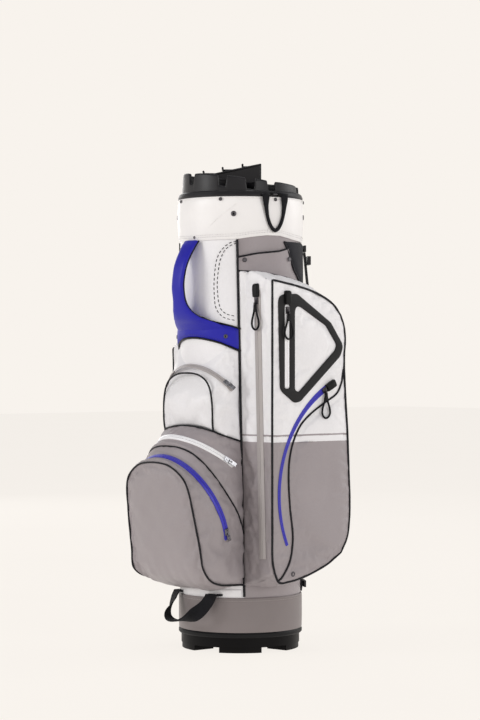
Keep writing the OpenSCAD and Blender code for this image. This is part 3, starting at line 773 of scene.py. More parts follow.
K0 = key([tuple(on_tube(113.2, math.degrees(math.asin(x / 113.2)), z)) for x, z in
          ((86, 551), (74, 558), (60, 565), (45, 570), (30, 573.5), (14, 575.2), (0, 575.6))])
K1 = key([(84.6, -75.5, 452), (88, -88, 470)] + arc_half(ARC_UPPER, 36))
A3_RIGHT = [(88, -73.5, 386.5), (86, -95, 393), (79, -113, 399.5), (70, -122.5, 405)]
A2_RIGHT = [(70, -122.5, 405), (70.5, -124.5, 418), (70.8, -125.2, 440), (69.3, -125.6, 462), (64, -125.8,
                                                                      482),
            (54, -126.2, 496), (38, -126.8, 505), (20, -127.2, 509.3), (0, -127.4, 510.2)]
K2 = resample(both(np.vstack([dense(A3_RIGHT)[:-1], dense(A2_RIGHT)])), COLS)
K3 = key(A3_RIGHT + [(40, -129, 411), (20, -130.8, 413.2), (0, -131.2, 414)])
K4 = key([(91, -71.5, 322), (97, -90, 337)] + arc_half(ARC_MID, 17))
K5 = key([(94, -71.5, 219), (102, -83.4, 239), (106.5, -97, 260.4), (104.5, -111.5, 283), (98, -129.3, 311),
          (88.6, -145, 335.5), (74.7, -157.2, 354.8), (56, -165.9, 368.4), (32, -170.4, 375.2), (0, -171.5,
                                                                      377)])
K6 = key([(94, -72, 172), (101, -92, 184), (108, -110, 200)] + arc_half(ARC_BALL, -19))
A7_UNDER = [(95, -74, 126), (98.4, -103, 127.3), (98.8, -112.8, 127.8)]
A7_RIGHT = [(98.8, -112.8, 127.8), (102, -133, 130), (105, -155, 137.5), (106.5, -168, 149), (103.5, -174,
                                                                      163),
            (101.5, -176, 180), (100.5, -179, 200), (97.5, -186, 239), (94.5, -190.6, 267), (91, -195.6, 296),
            (83, -199.1, 317), (64, -202, 334), (40, -203.9, 345), (20, -204.4, 348), (0, -204.6, 349)]
K7 = resample(both(np.vstack([dense(A7_UNDER)[:-1], dense(A7_RIGHT)])), COLS)


def normals_of(g):
    du = np.gradient(g, axis=1)
    dv = np.gradient(g, axis=0)
    n = unit(np.cross(du, dv))
    ref = g - arr([0, -40, 0])
    ref = ref * arr([1, 1, 0.35])
    sign = np.sign(np.sum(n * unit(ref), axis=-1).mean())
    return n * (sign if sign else 1)


def pucker(g, da, db, seed, amp=0.9, slow=1.2):
    """Small gathers beside both edges of a strip of fabric and a slow unevenness in its middle."""
    flat = g.reshape(-1, 3)
    rip = waves(flat, 15, seed, 2).reshape(g.shape[:2])
    long = waves(flat, 58, seed + 1, 2).reshape(g.shape[:2])
    d = np.minimum(da, db)
    edge = np.exp(-d / 11.0) * (1 - np.exp(-d / 2.5))
    return amp * rip * edge * 1.6 + slow * long * (1 - np.exp(-d / 12.0))


def gusset(a, b, rows, bulge, seed, amp=0.9, slow=1.1, power=1.2):
    """A strip of fabric between two curves of equal count, puffed outwards."""
    t = np.linspace(0, 1, rows)[:, None, None]
    g = a[None] * (1 - t) + b[None] * t
    n = normals_of(g)
    span = np.linalg.norm(b - a, axis=1)[None, :]
    da, db = t[..., 0] * span, (1 - t[..., 0]) * span
    s = np.linspace(0, 1, a.shape[0])[None, :]
    ends = np.clip(np.minimum(s, 1 - s) * 14, 0, 1)
    rise = bulge * np.sin(math.pi * t[..., 0]) ** power + pucker(g, da, db, seed, amp, slow)
    return g + n * (rise * ends)[..., None]


def clear_arc(p, arc):
    """Keeps fabric out of a zip's channel: below the tape, and clear of the slider that runs on it."""
    (cx, cy, cz), tilt, radius, a0, a1 = arc[0], math.radians(arc[1]), arc[2], arc[3], arc[4]
    q = p - arr([cx, cy, cz])
    st, ct = math.sin(tilt), math.cos(tilt)
    v = -q[:, 1] * st + q[:, 2] * ct
    w = -q[:, 1] * ct - q[:, 2] * st
    u = q[:, 0]
    r = np.hypot(u, v)
    a = np.degrees(np.arctan2(v, u))
    a = np.where(a < -90, a + 360, a)
    past = np.maximum(np.maximum(a0 - a, a - a1), 0) * math.pi / 180 * radius
    limit = radius - 1.95 + np.maximum(np.abs(w) - 9.3, 0) * 0.9 + np.maximum(past - 8, 0) * 0.8
    r2 = np.minimum(r, limit)
    k = r2 / np.maximum(r, 1e-6)
    u, v = u * k, v * k
    return np.stack([cx + u, cy - v * st - w * ct, cz + v * ct - w * st], axis=1)


def skin(build, g, mat=0, flip=False):
    rows, cols = g.shape[:2]
    build.add(g.reshape(-1, 3), grid_faces(rows, cols, flip=flip), mat)


def panel_rows(right, cols, crown, drop):
    """Rows of a panel that is symmetric about x = 0, from its right edge points to the left ones."""
    out = []
    for (x, y, z), c, dz in zip(right, crown, drop):
        u = np.linspace(1, -1, cols)
        w = 1 - np.abs(u) ** 2.6
        out.append(np.stack([x * u, y - c * w, z + dz * w], axis=1))
    return arr(out)


def nearest(points, lines):
    """Distance of each point to the closest of some dense lines."""
    p = arr(points)
    cloud = np.vstack([resample(line, max(8, int(length_of(line) / 2.0))) for line in lines])
    best = np.empty(len(p))
    for i in range(0, len(p), 2000):
        d = p[i:i + 2000, None] - cloud[None]
        best[i:i + 2000] = np.sqrt((d * d).sum(-1)).min(1)
    return best


def relax_cloth(ob, held, pressure, grow, cap, frames_run=18):
    """Lets the fabric settle as cloth that is a little larger than its seams allow and is held at them.
    The seams and zip channels keep their places, and no vertex moves further than cap, in mm."""
    scene = bpy.context.scene
    start = np.empty(len(ob.data.vertices) * 3)
    ob.data.vertices.foreach_get("co", start)
    start = start.reshape(-1, 3)
    group = ob.vertex_groups.new(name="held")
    for i, w in enumerate(held):
        if w > 0.001:
            group.add([i], float(w), "REPLACE")
    mod = ob.modifiers.new("cloth", "CLOTH")
    c = mod.settings
    c.quality = 6
    c.mass = 0.12
    c.air_damping = 6.0
    c.tension_stiffness = c.compression_stiffness = 12.0
    c.shear_stiffness = 4.0
    c.bending_stiffness = 0.04
    c.effector_weights.gravity = 0.0
    c.vertex_group_mass = "held"
    c.pin_stiffness = 1.0
    c.use_pressure = True
    c.uniform_pressure_force = pressure
    c.shrink_min = -grow
    mod.collision_settings.use_collision = False
    mod.collision_settings.use_self_collision = False
    mod.point_cache.frame_start = 1
    mod.point_cache.frame_end = frames_run
    for f in range(1, frames_run + 1):
        scene.frame_set(f)
    graph = bpy.context.evaluated_depsgraph_get()
    got = ob.evaluated_get(graph).to_mesh()
    end = np.empty(len(got.vertices) * 3)
    got.vertices.foreach_get("co", end)
    end = end.reshape(-1, 3)
    ob.evaluated_get(graph).to_mesh_clear()
    ob.modifiers.remove(mod)
    ob.vertex_groups.remove(group)
    scene.frame_set(1)
    move = end - start
    size = np.linalg.norm(move, axis=1, keepdims=True)
    most = cap * MM
    move = move * (most * np.tanh(size / most) / np.maximum(size, 1e-9))
    move = move * (1 - np.clip(held, 0, 1))[:, None]
    ob.data.vertices.foreach_set("co", (start + move).ravel())
    ob.data.update()
    print("cloth", ob.name, "moved up to", round(float(np.linalg.norm(move, axis=1).max() / MM), 2),
          "mm, mean",
          round(float(np.linalg.norm(move, axis=1).mean() / MM), 2))


def coords(ob):
    c = np.empty(len(ob.data.vertices) * 3)
    ob.data.vertices.foreach_get("co", c)
    return c.reshape(-1, 3) / MM


def front_module():
    b = Build()
    skin(b, gusset(K0, K1, 15, 5.0, 31, 1.0, 1.6), 0)
    skin(b, gusset(K1, K2, 11, 2.6, 33, 0.7, 1.2), 0)
    skin(b, gusset(K3, K4, 9, 2.2, 35), 1)
    skin(b, gusset(K4, K5, 11, 4.0, 37, 1.1, 1.6), 1)
    skin(b, gusset(K5, K6, 10, 3.4, 39, 1.2, 1.2), 1)
    skin(b, gusset(K6, K7, 13, 4.5, 41, 1.4, 1.6), 1)
    # small white panel
    right = resample(dense(A2_RIGHT), 26)
    k = len(right)
    f = np.linspace(0, 1, k)
    crown = 9.0 * np.sin(np.clip(f * 1.25 + 0.25, 0, 1) * math.pi / 2) * (1 - f**3)
    g = panel_rows(right, 41, crown, 9.0 * (1 - f) ** 6)
    n = normals_of(g)
    side = (1 - np.abs(np.linspace(1, -1, 41)))[None, :] * right[:, :1]
    d = np.minimum(np.minimum(f[:, None] * 110, 99), side)
    g = g + n * (pucker(g, d, d, 43, 0.8, 1.5))[..., None]
    skin(b, g, 0)
    # ball pocket: front panel and underside
    right = resample(dense(A7_RIGHT), 64)
    f = np.linspace(0, 1, len(right))
    z = right[:, 2]
    on_face = np.clip((z - 150) / 40, 0, 1)
    crown = 7.5 * on_face * np.clip((349 - z) / 60, 0, 1) ** 0.5
    under = np.interp(-right[:, 1], [112.8, 133, 155, 168, 176], [-11.3, -9, -6.5, -6, 0]) * (z < 185)
    g = panel_rows(right, 61, crown, under)
    n = normals_of(g)
    side = (1 - np.abs(np.linspace(1, -1, 61)))[None, :] * right[:, :1]
    d = np.minimum(side, (349 - z)[:, None])
    rise = pucker(g, d, d, 45, 1.2, 1.4)
    sagging = np.exp(-((z - 150) / 26.0) ** 2)[:, None] * (1 - np.exp(-side / 18))
    rise = rise + sagging * 1.9 * waves(g.reshape(-1, 3) * arr([1, 0.4, 1]), 34, 47, 2).reshape(g.shape[:2])
    g = g + n * rise[..., None]
    skin(b, g, 1)
    # the corners of the underside, in to the tube
    m = 31
    first = g[0]
    for sgn in (1, -1):
        a = resample(first if sgn > 0 else first[::-1], 61)[:m]
        deg = np.linspace(sgn * 52.5, 0, m)
        c = on_tube(np.full(m, 112.7), deg, np.interp(np.abs(deg), [0, 52.5], [116.5, 124.5]))
        t = np.linspace(0, 1, 9)[:, None, None]
        skin(b, a[None] * (1 - t) + c[None] * t, 1)
    p = arr(b.v)
    for arc in (ARC_BALL, ARC_MID, ARC_UPPER):
        p = clear_arc(p, arc)
    b.v = [tuple(v) for v in p]
    ob = b.make("front_pockets", [mat_white, mat_grey], slot="pocket_grey")
    weld_and_orient(ob, 0.25)
    p = coords(ob)
    d = nearest(p, [K0, K1, K3, K4, K5, K6, K7, both(dense(A2_RIGHT))])
    on_tube_r = np.hypot(p[:, 0], p[:, 1])
    held = np.clip((9.0 - d) / 6.0, 0, 1)
    held = np.maximum(held, np.clip((118.0 - on_tube_r) / 4.0, 0, 1) * (np.abs(p[:, 0]) > 70))
    held = np.maximum(held, np.clip((117.0 - on_tube_r) / 3.0, 0, 1))
    small_top = (p[:, 1] < -121) & (p[:, 2] < 516) & (np.abs(p[:, 0]) < 68) & (p[:, 2] > 450)
    held = np.maximum(held, small_top * np.clip((p[:, 2] - 468) / 16.0, 0, 1))
    for arc in (ARC_BALL, ARC_MID, ARC_UPPER):
        line = [arc_point(arc, a) for a in np.linspace(arc[3] - 4, arc[4] + 4, 120)]
        held = np.maximum(held, np.clip((15.0 - nearest(p, [line])) / 4.0, 0, 1))
    relax_cloth(ob, held, 4.0, 0.045, 4.0)
    p = coords(ob)
    for arc in (ARC_BALL, ARC_MID, ARC_UPPER):
        p = clear_arc(p, arc)
    ob.data.vertices.foreach_set("co", (p * MM).ravel())
    ob.data.update()
    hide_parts("pocket_ball", "pocket_mid", "pocket_upper")
    return ob


def weld_and_orient(ob, dist=0.1, sharp=None):
    """Joins the strips of a shell along their common edges and turns every face outwards.
    Edges over sharp degrees stay sharp."""
    bm = bmesh.new()
    bm.from_mesh(ob.data)
    bmesh.ops.remove_doubles(bm, verts=bm.verts, dist=dist * MM)
    bmesh.ops.dissolve_degenerate(bm, dist=0.02 * MM, edges=bm.edges)
    bmesh.ops.recalc_face_normals(bm, faces=bm.faces)
    bm.to_mesh(ob.data)
    bm.free()
    for p in ob.data.polygons:
        p.use_smooth = True
    if sharp:
        ob.data.set_sharp_from_angle(angle=math.radians(sharp))


def front_piping():
    def lifted(k, lift):
        tan = unit(np.gradient(k, axis=0))
        ref = outward(k)
        n = unit(ref - tan * np.sum(ref * tan, axis=1, keepdims=True))
        return k + n * lift
    k7 = resample(both(np.vstack([dense(A7_UNDER)[:-1], dense(A7_RIGHT)])), 260)
    bead("piping_ball_front", lifted(k7, 0.9), 1.75)
    bead("piping_ball_rear", lifted(resample(dense(K5), 200), 0.9), 1.75)
    bead("piping_mid_seam", lifted(resample(dense(K3), 160), 0.8), 1.6)
    a2 = resample(both(dense(A2_RIGHT)), 150)
    bead("piping_upper_panel", lifted(a2, 0.9), 1.7)


def arched_zip(name, arc, mat, slot, node, trim):
    """Two coated tapes that meet over the teeth, with a fine line between them."""
    b = Build()
    half = arc[5]
    n = 90
    angles = np.linspace(arc[3], arc[4], n)
    for s in (1, -1):
        prof = [(0.22, -1.9), (0.22, -0.75), (0.45, -0.3), (0.9, -0.02), (1.8, -0.02), (2.3, -0.28),
                (half - 0.9, -0.3),
                (half - 0.2, -0.6), (half, -1.3), (half, -1.9)]
        verts = []
        for a in angles:
            verts += [arc_point(arc, a, r, s * w) for w, r in prof]
        faces = tube_faces(n, len(prof), flip=s < 0)
        b.add(verts, faces, 0)
    verts = []
    prof = [(-0.6, -1.8), (0.6, -1.8), (0.6, -1.1), (-0.6, -1.1)]
    for a in angles:
        verts += [arc_point(arc, a, r, w) for w, r in prof]
    b.add(verts, grid_faces(n, 4, close_u=True), 1)
    ob = b.make(name, [mat, mat_zip_line], slot=slot, sharp=40)
    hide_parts(node)
    # end tabs
    b = Build()
    for a, sgn in ((arc[3], -1), (arc[4], 1)):
        span = math.degrees(9.0 / arc[2])
        aa = np.linspace(a - sgn * span * 0.15, a + sgn * span, 9)
        verts = []
        w = half + 0.6
        for i, q in enumerate(aa):
            h = w * (1.0 if i < 6 else math.sqrt(max(0.05, 1 - ((i - 5.5) / 3.2) ** 2)))
            verts += [arc_point(arc, q, r, ww) for ww, r in ((-h, -1.9), (-h, -0.9), (-h * 0.85, -0.35),
                                                          (h * 0.85, -0.35), (h, -0.9), (h, -1.9))]
        faces = grid_faces(9, 6, close_u=True)
        faces += [tuple(range(6)), tuple(reversed(range(48, 54)))]
        b.add(verts, faces, 0)
    ob = b.make(name + "_tabs", trim, sharp=40)
    weld_and_orient(ob, 0.01, sharp=40)

# ------------------------------------------------------------------ side modules

SPLIT_Z = (386.0, 396.6, 399.6)


def edge_distance(p, line):
    """Distance of points (y, z) to a polyline of (y, z)."""
    p = arr(p)
    line = arr(line)
    best = np.full(len(p), 1e9)
    for a, b in zip(line[:-1], line[1:]):
        ab = b - a
        t = np.clip(((p - a) @ ab) / max(ab @ ab, 1e-9), 0, 1)
        best = np.minimum(best, np.linalg.norm(p - (a + t[:, None] * ab), axis=1))
    return best


def coons(front, rear, bottom, top):
    nv, nu = len(front), len(bottom)
    u = np.linspace(0, 1, nu)[None, :, None]
    v = np.linspace(0, 1, nv)[:, None, None]
    s = (1 - v) * bottom[None] + v * top[None] + (1 - u) * front[:, None] + u * rear[:, None]
    c = ((1 - u) * (1 - v) * bottom[0] + u * (1 - v) * bottom[-1] + (1 - u) * v * top[0] + u * v * top[-1])
    return s - c


def side_loop(front, rear, bottom, top):
    """The outline, up the front, along the top, down the rear and back along the bottom."""
    return np.vstack([front[:-1], top[:-1], rear[::-1][:-1], bottom[::-1][:-1]])


def split_colours(ob):
    """Cuts the shell along level lines and colours what lies below and between them grey."""
    bm = bmesh.new()
    bm.from_mesh(ob.data)
    for z in SPLIT_Z:
        geom = bm.verts[:] + bm.edges[:] + bm.faces[:]
        bmesh.ops.bisect_plane(bm, geom=geom, dist=1e-7, plane_co=(0, 0, z * MM), plane_no=(0, 0, 1))
    for f in bm.faces:
        h = f.calc_center_median().z / MM
        f.material_index = 1 if h < SPLIT_Z[0] or SPLIT_Z[1] < h < SPLIT_Z[2] else 0
    bm.to_mesh(ob.data)
    bm.free()


def side_module(name, x_edge, curves, tube_ends, x_of, seeds, bulge, slot, nodes, keep, flat_lines):
    """One large pocket: its outer panel, and the gusset from the panel's edge to the tube."""
    sgn = 1 if x_edge > 0 else -1
    nv, nu = 150, 70
    front, rear = curve(curves["front"], nv), curve(curves["rear"], nv)
    bottom, top = curve(curves["bottom"], nu), curve(curves["top"], nu)
    grid = coons(front, rear, bottom, top)
    flat = grid.reshape(-1, 2)
    loop = side_loop(front, rear, bottom, top)
    closed = np.vstack([loop, loop[:1]])
    d = edge_distance(flat, closed)
    x = x_of(flat, d)
    p = np.stack([x, flat[:, 0], flat[:, 1]], axis=1)
    b = Build()
    faces = grid_faces(nv, nu, flip=sgn < 0)
    b.add(p, faces, 0)
    # gusset
    n_f, n_t, n_r = nv - 1, nu - 1, nv - 1
    count = len(loop)
    edge = np.stack([np.full(count, x_edge), loop[:, 0], loop[:, 1]], axis=1)
    deg, zt = tube_ends(loop, n_f, n_t, n_r)
    foot = on_tube(np.full(count, 112.5), deg, zt)
    rows = 19
    t = np.linspace(0, 1, rows)[:, None, None]
    g = edge[None] * (1 - t) + foot[None] * t
    centre = arr([0, loop[:, 0].mean(), loop[:, 1].mean()])
    tan = unit(np.roll(edge, -1, 0) - np.roll(edge, 1, 0))
    n = unit(np.cross(tan, foot - edge))
    ref = edge - arr([x_edge, centre[1], centre[2]])
    n = n * np.sign(np.sum(n * ref, axis=1, keepdims=True))
    span = np.linalg.norm(foot - edge, axis=1)[None, :]
    da, db = t[..., 0] * span, (1 - t[..., 0]) * span
    amount = np.full(count, bulge[1])
    amount[:n_f] = bulge[0]
    amount[n_f + n_t:n_f + n_t + n_r] = bulge[2]
    amount[n_f + n_t + n_r:] = bulge[3]
    k = arr([1, 2, 3, 4, 5, 4, 3, 2, 1])
    amount = np.convolve(np.concatenate([amount[-4:], amount, amount[:4]]), k / k.sum(), "valid")
    lift = amount[None, :] * np.sin(math.pi * t[..., 0]) ** 1.1
    soft = np.clip(amount / 3.0, 0.25, 1)[None, :]
    lift = lift + pucker(g, da, db, seeds, 0.9, 1.3) * soft
    g = g + n[None] * lift[..., None]
    if bulge[0] == 0:
        f = g[:, :n_f + 1]
        x, y, zz = f[..., 0], f[..., 1], f[..., 2]
        zip_x = np.interp(zz, [176, 640], [146, 131])
        near = np.clip((np.abs(x - zip_x) - 11) / 12, 0, 1) * np.clip((168 - x) / 8, 0, 1)
        q = np.stack([x, zz * 0.5 + x * 0.5, zz * 0], axis=-1).reshape(-1, 3)
        low = np.clip((400 - zz) / 60, 0.3, 1)
        ripple = (waves(q, 30, 72, 2).reshape(x.shape) * 1.5 + 0.6) * low * near
        flat_y = -69.3 - ripple
        k = np.clip((x - 84) / 16, 0, 1)
        k = k * k * (3 - 2 * k) * np.clip((169.5 - x) / 4, 0, 1)
        f[..., 1] = y * (1 - k) + flat_y * k
    faces = grid_faces(rows, count, close_u=True)
    b.add(g.reshape(-1, 3), faces, 0)
    ob = b.make(name, [mat_white, mat_grey], slot=slot)
    split_colours(ob)
    weld_and_orient(ob, 0.3)
    p = coords(ob)
    rim3 = np.vstack([edge, edge[:1]])
    lines = [rim3, np.vstack([foot, foot[:1]])] + [arr(q) for q in keep]
    held = np.clip((9.0 - nearest(p, lines)) / 6.0, 0, 1)
    for line, reach in flat_lines:
        held = np.maximum(held, np.clip((reach + 5 - nearest(p, [arr(line)])) / 5.0, 0, 1))
    relax_cloth(ob, held, 4.0, 0.035, 4.0)
    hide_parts(*nodes)
    return loop


LONG_TOP, LONG_FOOT = arr([131, -70, 640]), arr([146, -70, 176])
RIGHT = {
    "front": [(-63, 152), (-68, 172), (-68.8, 230), (-68.8, 340), (-68.8, 450), (-68.8, 560), (-68.8, 677)],
    "top": [(-68.8, 677), (-46, 673.5), (-12, 667.5), (22, 660), (56, 648), (80, 634), (96, 616)],
    "rear": [(97, 181), (112, 207), (118, 240), (119, 274), (116.5, 333), (113.5, 398), (109.5, 451),
             (105.5, 517),
             (105.5, 545), (107.5, 569), (105, 594), (96, 616)],
    "bottom": [(-63, 152), (-53, 135), (-29, 135), (8.5, 142), (40, 152), (65, 162), (97, 181)],
}
S_PIPE = [(104, 517), (98, 492), (86, 473), (55, 456), (21, 436), (-3, 416), (-20, 388), (-29, 358), (-32,
                                                                      335),
          (-32, 307), (-28, 266), (-22, 224), (-23, 197), (-30, 169), (-45, 146), (-54, 138)]
CURVE_ZIP = ((165.0, 290.0), 220.0, 119.0, 204.0)


def curve_zip_point(a, r=0.0):
    (cy, cz), radius = CURVE_ZIP[0], CURVE_ZIP[1]
    a = np.radians(a)
    return np.stack([cy + (radius + r) * np.cos(a), cz + (radius + r) * np.sin(a)], axis=-1)


def right_surface(p, d):
    """Height of the large pocket's panel: a puffed face that lies flat under its zips and frame."""
    y, z = p[:, 0], p[:, 1]
    base = 170.6 + 2.9 * (1 - np.exp(-d / 5.0))
    pipe = dense(S_PIPE, per=6)
    ds = edge_distance(p, pipe)
    zip_line = curve_zip_point(np.linspace(CURVE_ZIP[2], CURVE_ZIP[3], 40))
    dz = edge_distance(p, zip_line)
    fz = edge_distance(p, arr([(-37, 484), (-37, 640)]))
    wf = edge_distance(p, arr([(-40, 640), (0, 640), (84, 575), (84, 556), (-10, 468), (-40, 480), (-40,
                                                                      640)]))
    inside = (y > -45) & (y < 84) & (z > 476 + np.maximum(y, -10) * 0.0) & (z < 645)
    free = 1 - np.exp(-((np.minimum(np.minimum(dz, fz), wf) / 16.0) ** 2))
    # behind the S piping and below the curved zip the fabric stands proud
    line_y = np.interp(z, [136, 169, 224, 307, 388, 436, 473, 517], [-54, -30, -22, -32, -20, 21, 86, 104])
    behind = 1 / (1 + np.exp(-(y - line_y) / 4.0))
    rest = edge_distance(p, arr([(-38, 206), (14, 199)]))
    free = free * (1 - np.exp(-((rest / 16.0) ** 2)))
    swell = behind * (z < 500) * 4.4 * (1 - np.exp(-d / 34.0)) * (1 - np.exp(-ds / 20.0))
    upper = (1 - behind) * (z > 440) * 1.6 * (1 - np.exp(-d / 25.0)) * inside
    q = np.stack([0 * y, y, z], axis=1)
    creases = 0.8 * waves(q * arr([1, 1, 0.55]), 85, 61, 3) + 0.35 * waves(q, 24, 62,
                                                                      2) * np.exp(-d / 16.0) * 2
    groove = -1.3 * np.exp(-((ds / 4.0) ** 2))
    x = base + (swell + upper + creases) * free + groove * np.clip(dz / 8, 0, 1)
    return np.where((dz < 8) | (fz < 12), np.minimum(x, 173.7), x)


def right_tube(loop, nf, nt, nr):
    n = len(loop)
    deg, z = np.zeros(n), np.zeros(n)
    f = loop[:nf]
    z[:nf] = np.interp(f[:, 1], [150, 677], [122, 696])
    deg[:nf] = seam_deg(z[:nf]) + 0.2
    u = np.linspace(0, 1, nt + 1)[:-1]
    deg[nf:nf + nt] = np.interp(u, [0, 1], [seam_deg(696) + 0.2, 127])
    z[nf:nf + nt] = np.interp(u, [0, 0.3, 0.7, 1], [696, 693, 683, 668])
    r = loop[nf + nt:nf + nt + nr]
    deg[nf + nt:nf + nt + nr] = 127
    z[nf + nt:nf + nt + nr] = np.interp(r[:, 1], [181, 616], [152, 668])
    m = n - nf - nt - nr
    u = np.linspace(0, 1, m + 1)[:-1]
    deg[nf + nt + nr:] = np.interp(u, [0, 1], [127, float(seam_deg(122)) + 0.2])
    z[nf + nt + nr:] = np.interp(u, [0, 0.5, 1], [152, 128, 122])
    return deg, z


def right_module():
    pipe = curve(S_PIPE, 120)
    pipe = np.stack([np.full(120, 173.5), pipe[:, 0], pipe[:, 1]], axis=1)
    yz = curve_zip_point(np.linspace(CURVE_ZIP[2] - 4, CURVE_ZIP[3], 90))
    flat_lines = [(np.stack([np.full(90, 173.7), yz[:, 0], yz[:, 1]], axis=1), 9.0),
                  ([(173.7, -37, 478), (173.7, -37, 646)], 14.0), ([LONG_TOP, LONG_FOOT], 11.0)]
    ring = arr([(-46, 645), (-10, 645), (60, 603), (92, 560), (85, 548), (-10, 467), (-38, 470), (-46, 645)])
    flat_lines.append((np.stack([np.full(8, 173.9), ring[:, 0], ring[:, 1]], axis=1), 9.0))
    flat_lines.append(([(174, -38, 206), (174, 14, 199)], 11.0))
    loop = side_module("side_pocket_right", 170.6, RIGHT, right_tube, right_surface, 71, (0.0, 3.0, 4.5, 3.2),
                       "pocket_white", ("pocket_right",), [pipe], flat_lines)
    n = len(loop)
    edge = np.stack([np.full(n, 171.3), loop[:, 0], loop[:, 1]], axis=1)
    c = arr([0, loop[:, 0].mean(), loop[:, 1].mean()])
    out = unit((edge - c) * arr([0, 1, 1]))
    bead("piping_right_edge", resample(edge + out * 0.5, 420, True), 2.1, closed=True)
    s = curve(S_PIPE, 260)
    d = np.minimum(edge_distance(s, np.vstack([loop, loop[:1]])), 40)
    x = right_surface(s, d) + 0.9
    bead("piping_right_panel", np.stack([x, s[:, 0], s[:, 1]], axis=1), 1.9)
    # the seam where the top gusset meets the tube
    deg = np.linspace(47.8, 127, 80)
    z = np.interp((deg - 47.8) / 79.2, [0, 0.3, 0.7, 1], [696, 693, 683, 668])
    bead("piping_right_top", on_tube(np.full(80, 113.6), deg, z), 2.0)
    # stitches beside the grey line across panel and front gusset
    b = Build()
    ys = np.linspace(-66, 110, 120)
    for zz in (396.2,):
        q = np.stack([ys, np.full(120, zz)], axis=1)
        d = edge_distance(q, np.vstack([loop, loop[:1]]))
        pts = np.stack([right_surface(q, d) + 0.12, ys, np.full(120, zz)], axis=1)
        stitches(pts, b, 1.6, 2.6, 0.3)
    pts = np.stack([np.linspace(90, 168, 60), np.full(60, -69.75), np.full(60, 396.2)], axis=1)
    b2 = [pts[:26], pts[42:]]
    for q in b2:
        stitches(q, b, 1.6, 2.6, 0.3)
    b.make("band_stitches", mat_thread_g)


LEFT = {
    "front": [(-44, 160), (-42, 190), (-42, 300), (-42, 420), (-42, 520), (-43, 556)],
    "top": [(-43, 556), (-20, 560), (20, 560), (55, 556), (84, 543), (96, 525)],
    "rear": [(94, 172), (102, 205), (103, 260), (103, 400), (102, 480), (96, 525)],
    "bottom": [(-44, 160), (-36, 138), (0, 136), (40, 139), (70, 150), (94, 172)],
}


def left_surface(p, d):
    y, z = p[:, 0], p[:, 1]
    fz = edge_distance(p, arr([(8, 146), (8, 525)]))
    free = 1 - np.exp(-((fz / 18.0) ** 2))
    q = np.stack([0 * y, y, z], axis=1)
    x = 147.0 + 2.6 * (1 - np.exp(-d / 5.0)) + free * (
        2.2 * (1 - np.exp(-d / 30.0)) + 0.9 * waves(q * arr([1, 1, 0.55]), 85, 65, 3)
        + 0.5 * waves(q, 24, 66, 2) * np.exp(-d / 16.0))
    return -np.where(fz < 12, np.minimum(x, 149.6), x)


def left_tube(loop, nf, nt, nr):
    n = len(loop)
    deg, z = np.zeros(n), np.zeros(n)
    z[:nf] = np.interp(loop[:nf, 1], [160, 556], [138, 572])
    deg[:nf] = -61.5
    u = np.linspace(0, 1, nt + 1)[:-1]
    deg[nf:nf + nt] = np.interp(u, [0, 1], [-61.5, -127])
    z[nf:nf + nt] = np.interp(u, [0, 0.5, 1], [572, 580, 560])
    deg[nf + nt:nf + nt + nr] = -127
    z[nf + nt:nf + nt + nr] = np.interp(loop[nf + nt:nf + nt + nr, 1], [172, 525], [140, 560])
    m = n - nf - nt - nr
    u = np.linspace(0, 1, m + 1)[:-1]
    deg[nf + nt + nr:] = np.interp(u, [0, 1], [-127, -61.5])
    z[nf + nt + nr:] = np.interp(u, [0, 0.5, 1], [140, 128, 138])
    return deg, z


def left_module():
    loop = side_module("side_pocket_left", -147.0, LEFT, left_tube, left_surface, 77, (2.0, 3.0, 3.5, 3.0),
                       "pocket_grey", ("pocket_left",), [], [([(-149.6, 8, 146), (-149.6, 8, 535)], 13.0)])
    n = len(loop)
    edge = np.stack([np.full(n, -147.8), loop[:, 0], loop[:, 1]], axis=1)
    c = arr([0, loop[:, 0].mean(), loop[:, 1].mean()])
    out = unit((edge - c) * arr([0, 1, 1]))
    bead("piping_left_edge", resample(edge + out * 0.5, 320, True), 2.0, closed=True)


def shell_strip(rows_out, rows_in):
    """A closed shell from a grid of outer points and the same grid of inner points."""
    r, c = rows_out.shape[:2]
    v = np.vstack([rows_out.reshape(-1, 3), rows_in.reshape(-1, 3)])
    f = grid_faces(r, c)
    off = r * c
    f2 = [tuple(i + off for i in reversed(q)) for q in f]
    side = []
    ring = [(0, j) for j in range(c)] + [(i, c - 1) for i in range(1, r)] + [(r - 1,
                                                                      j) for j in range(c - 2, -1, -1)]
    ring += [(i, 0) for i in range(r - 2, 0, -1)]
    ids = [i * c + j for i, j in ring]
    for a, b in zip(ids, ids[1:] + ids[:1]):
        side.append((b, a, a + off, b + off))
    return v, f + f2 + side


def slip_pocket():
    n, m = 60, 16
    deg = np.linspace(48.4, 104.6, n)
    top = np.interp(deg, [48, 49.1, 65.7, 88.7, 103.8, 106], [720.5, 721.2, 727.6, 732.5, 740, 741])
    low = np.full(n, 664.0)
    rows = []
    for t in np.linspace(0, 1, m):
        z = low + (top - low) * t
        gape = 2.0 * np.sin(math.pi * (deg - 48.4) / 56.2) * t**3
        rows.append(on_tube(113.9 + gape, deg, z))
    outer = arr(rows)
    flat = outer.reshape(-1, 3)
    outer = (flat + outward(flat) * (0.4 * waves(flat, 40, 81))[:, None]).reshape(m, n, 3)
    inner = outer - outward(outer) * 1.1
    v, f = shell_strip(outer, inner)
    ob = make("slip_pocket_fabric", v, f, mat_grey, slot="pocket_grey", sharp=50)
    weld_and_orient(ob, 0.001, sharp=50)
    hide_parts("slip_pocket")
    bead("piping_slip_pocket", outer[-1] + arr([0, 0, 0.6]), 1.7)


# ------------------------------------------------------------------ front handle

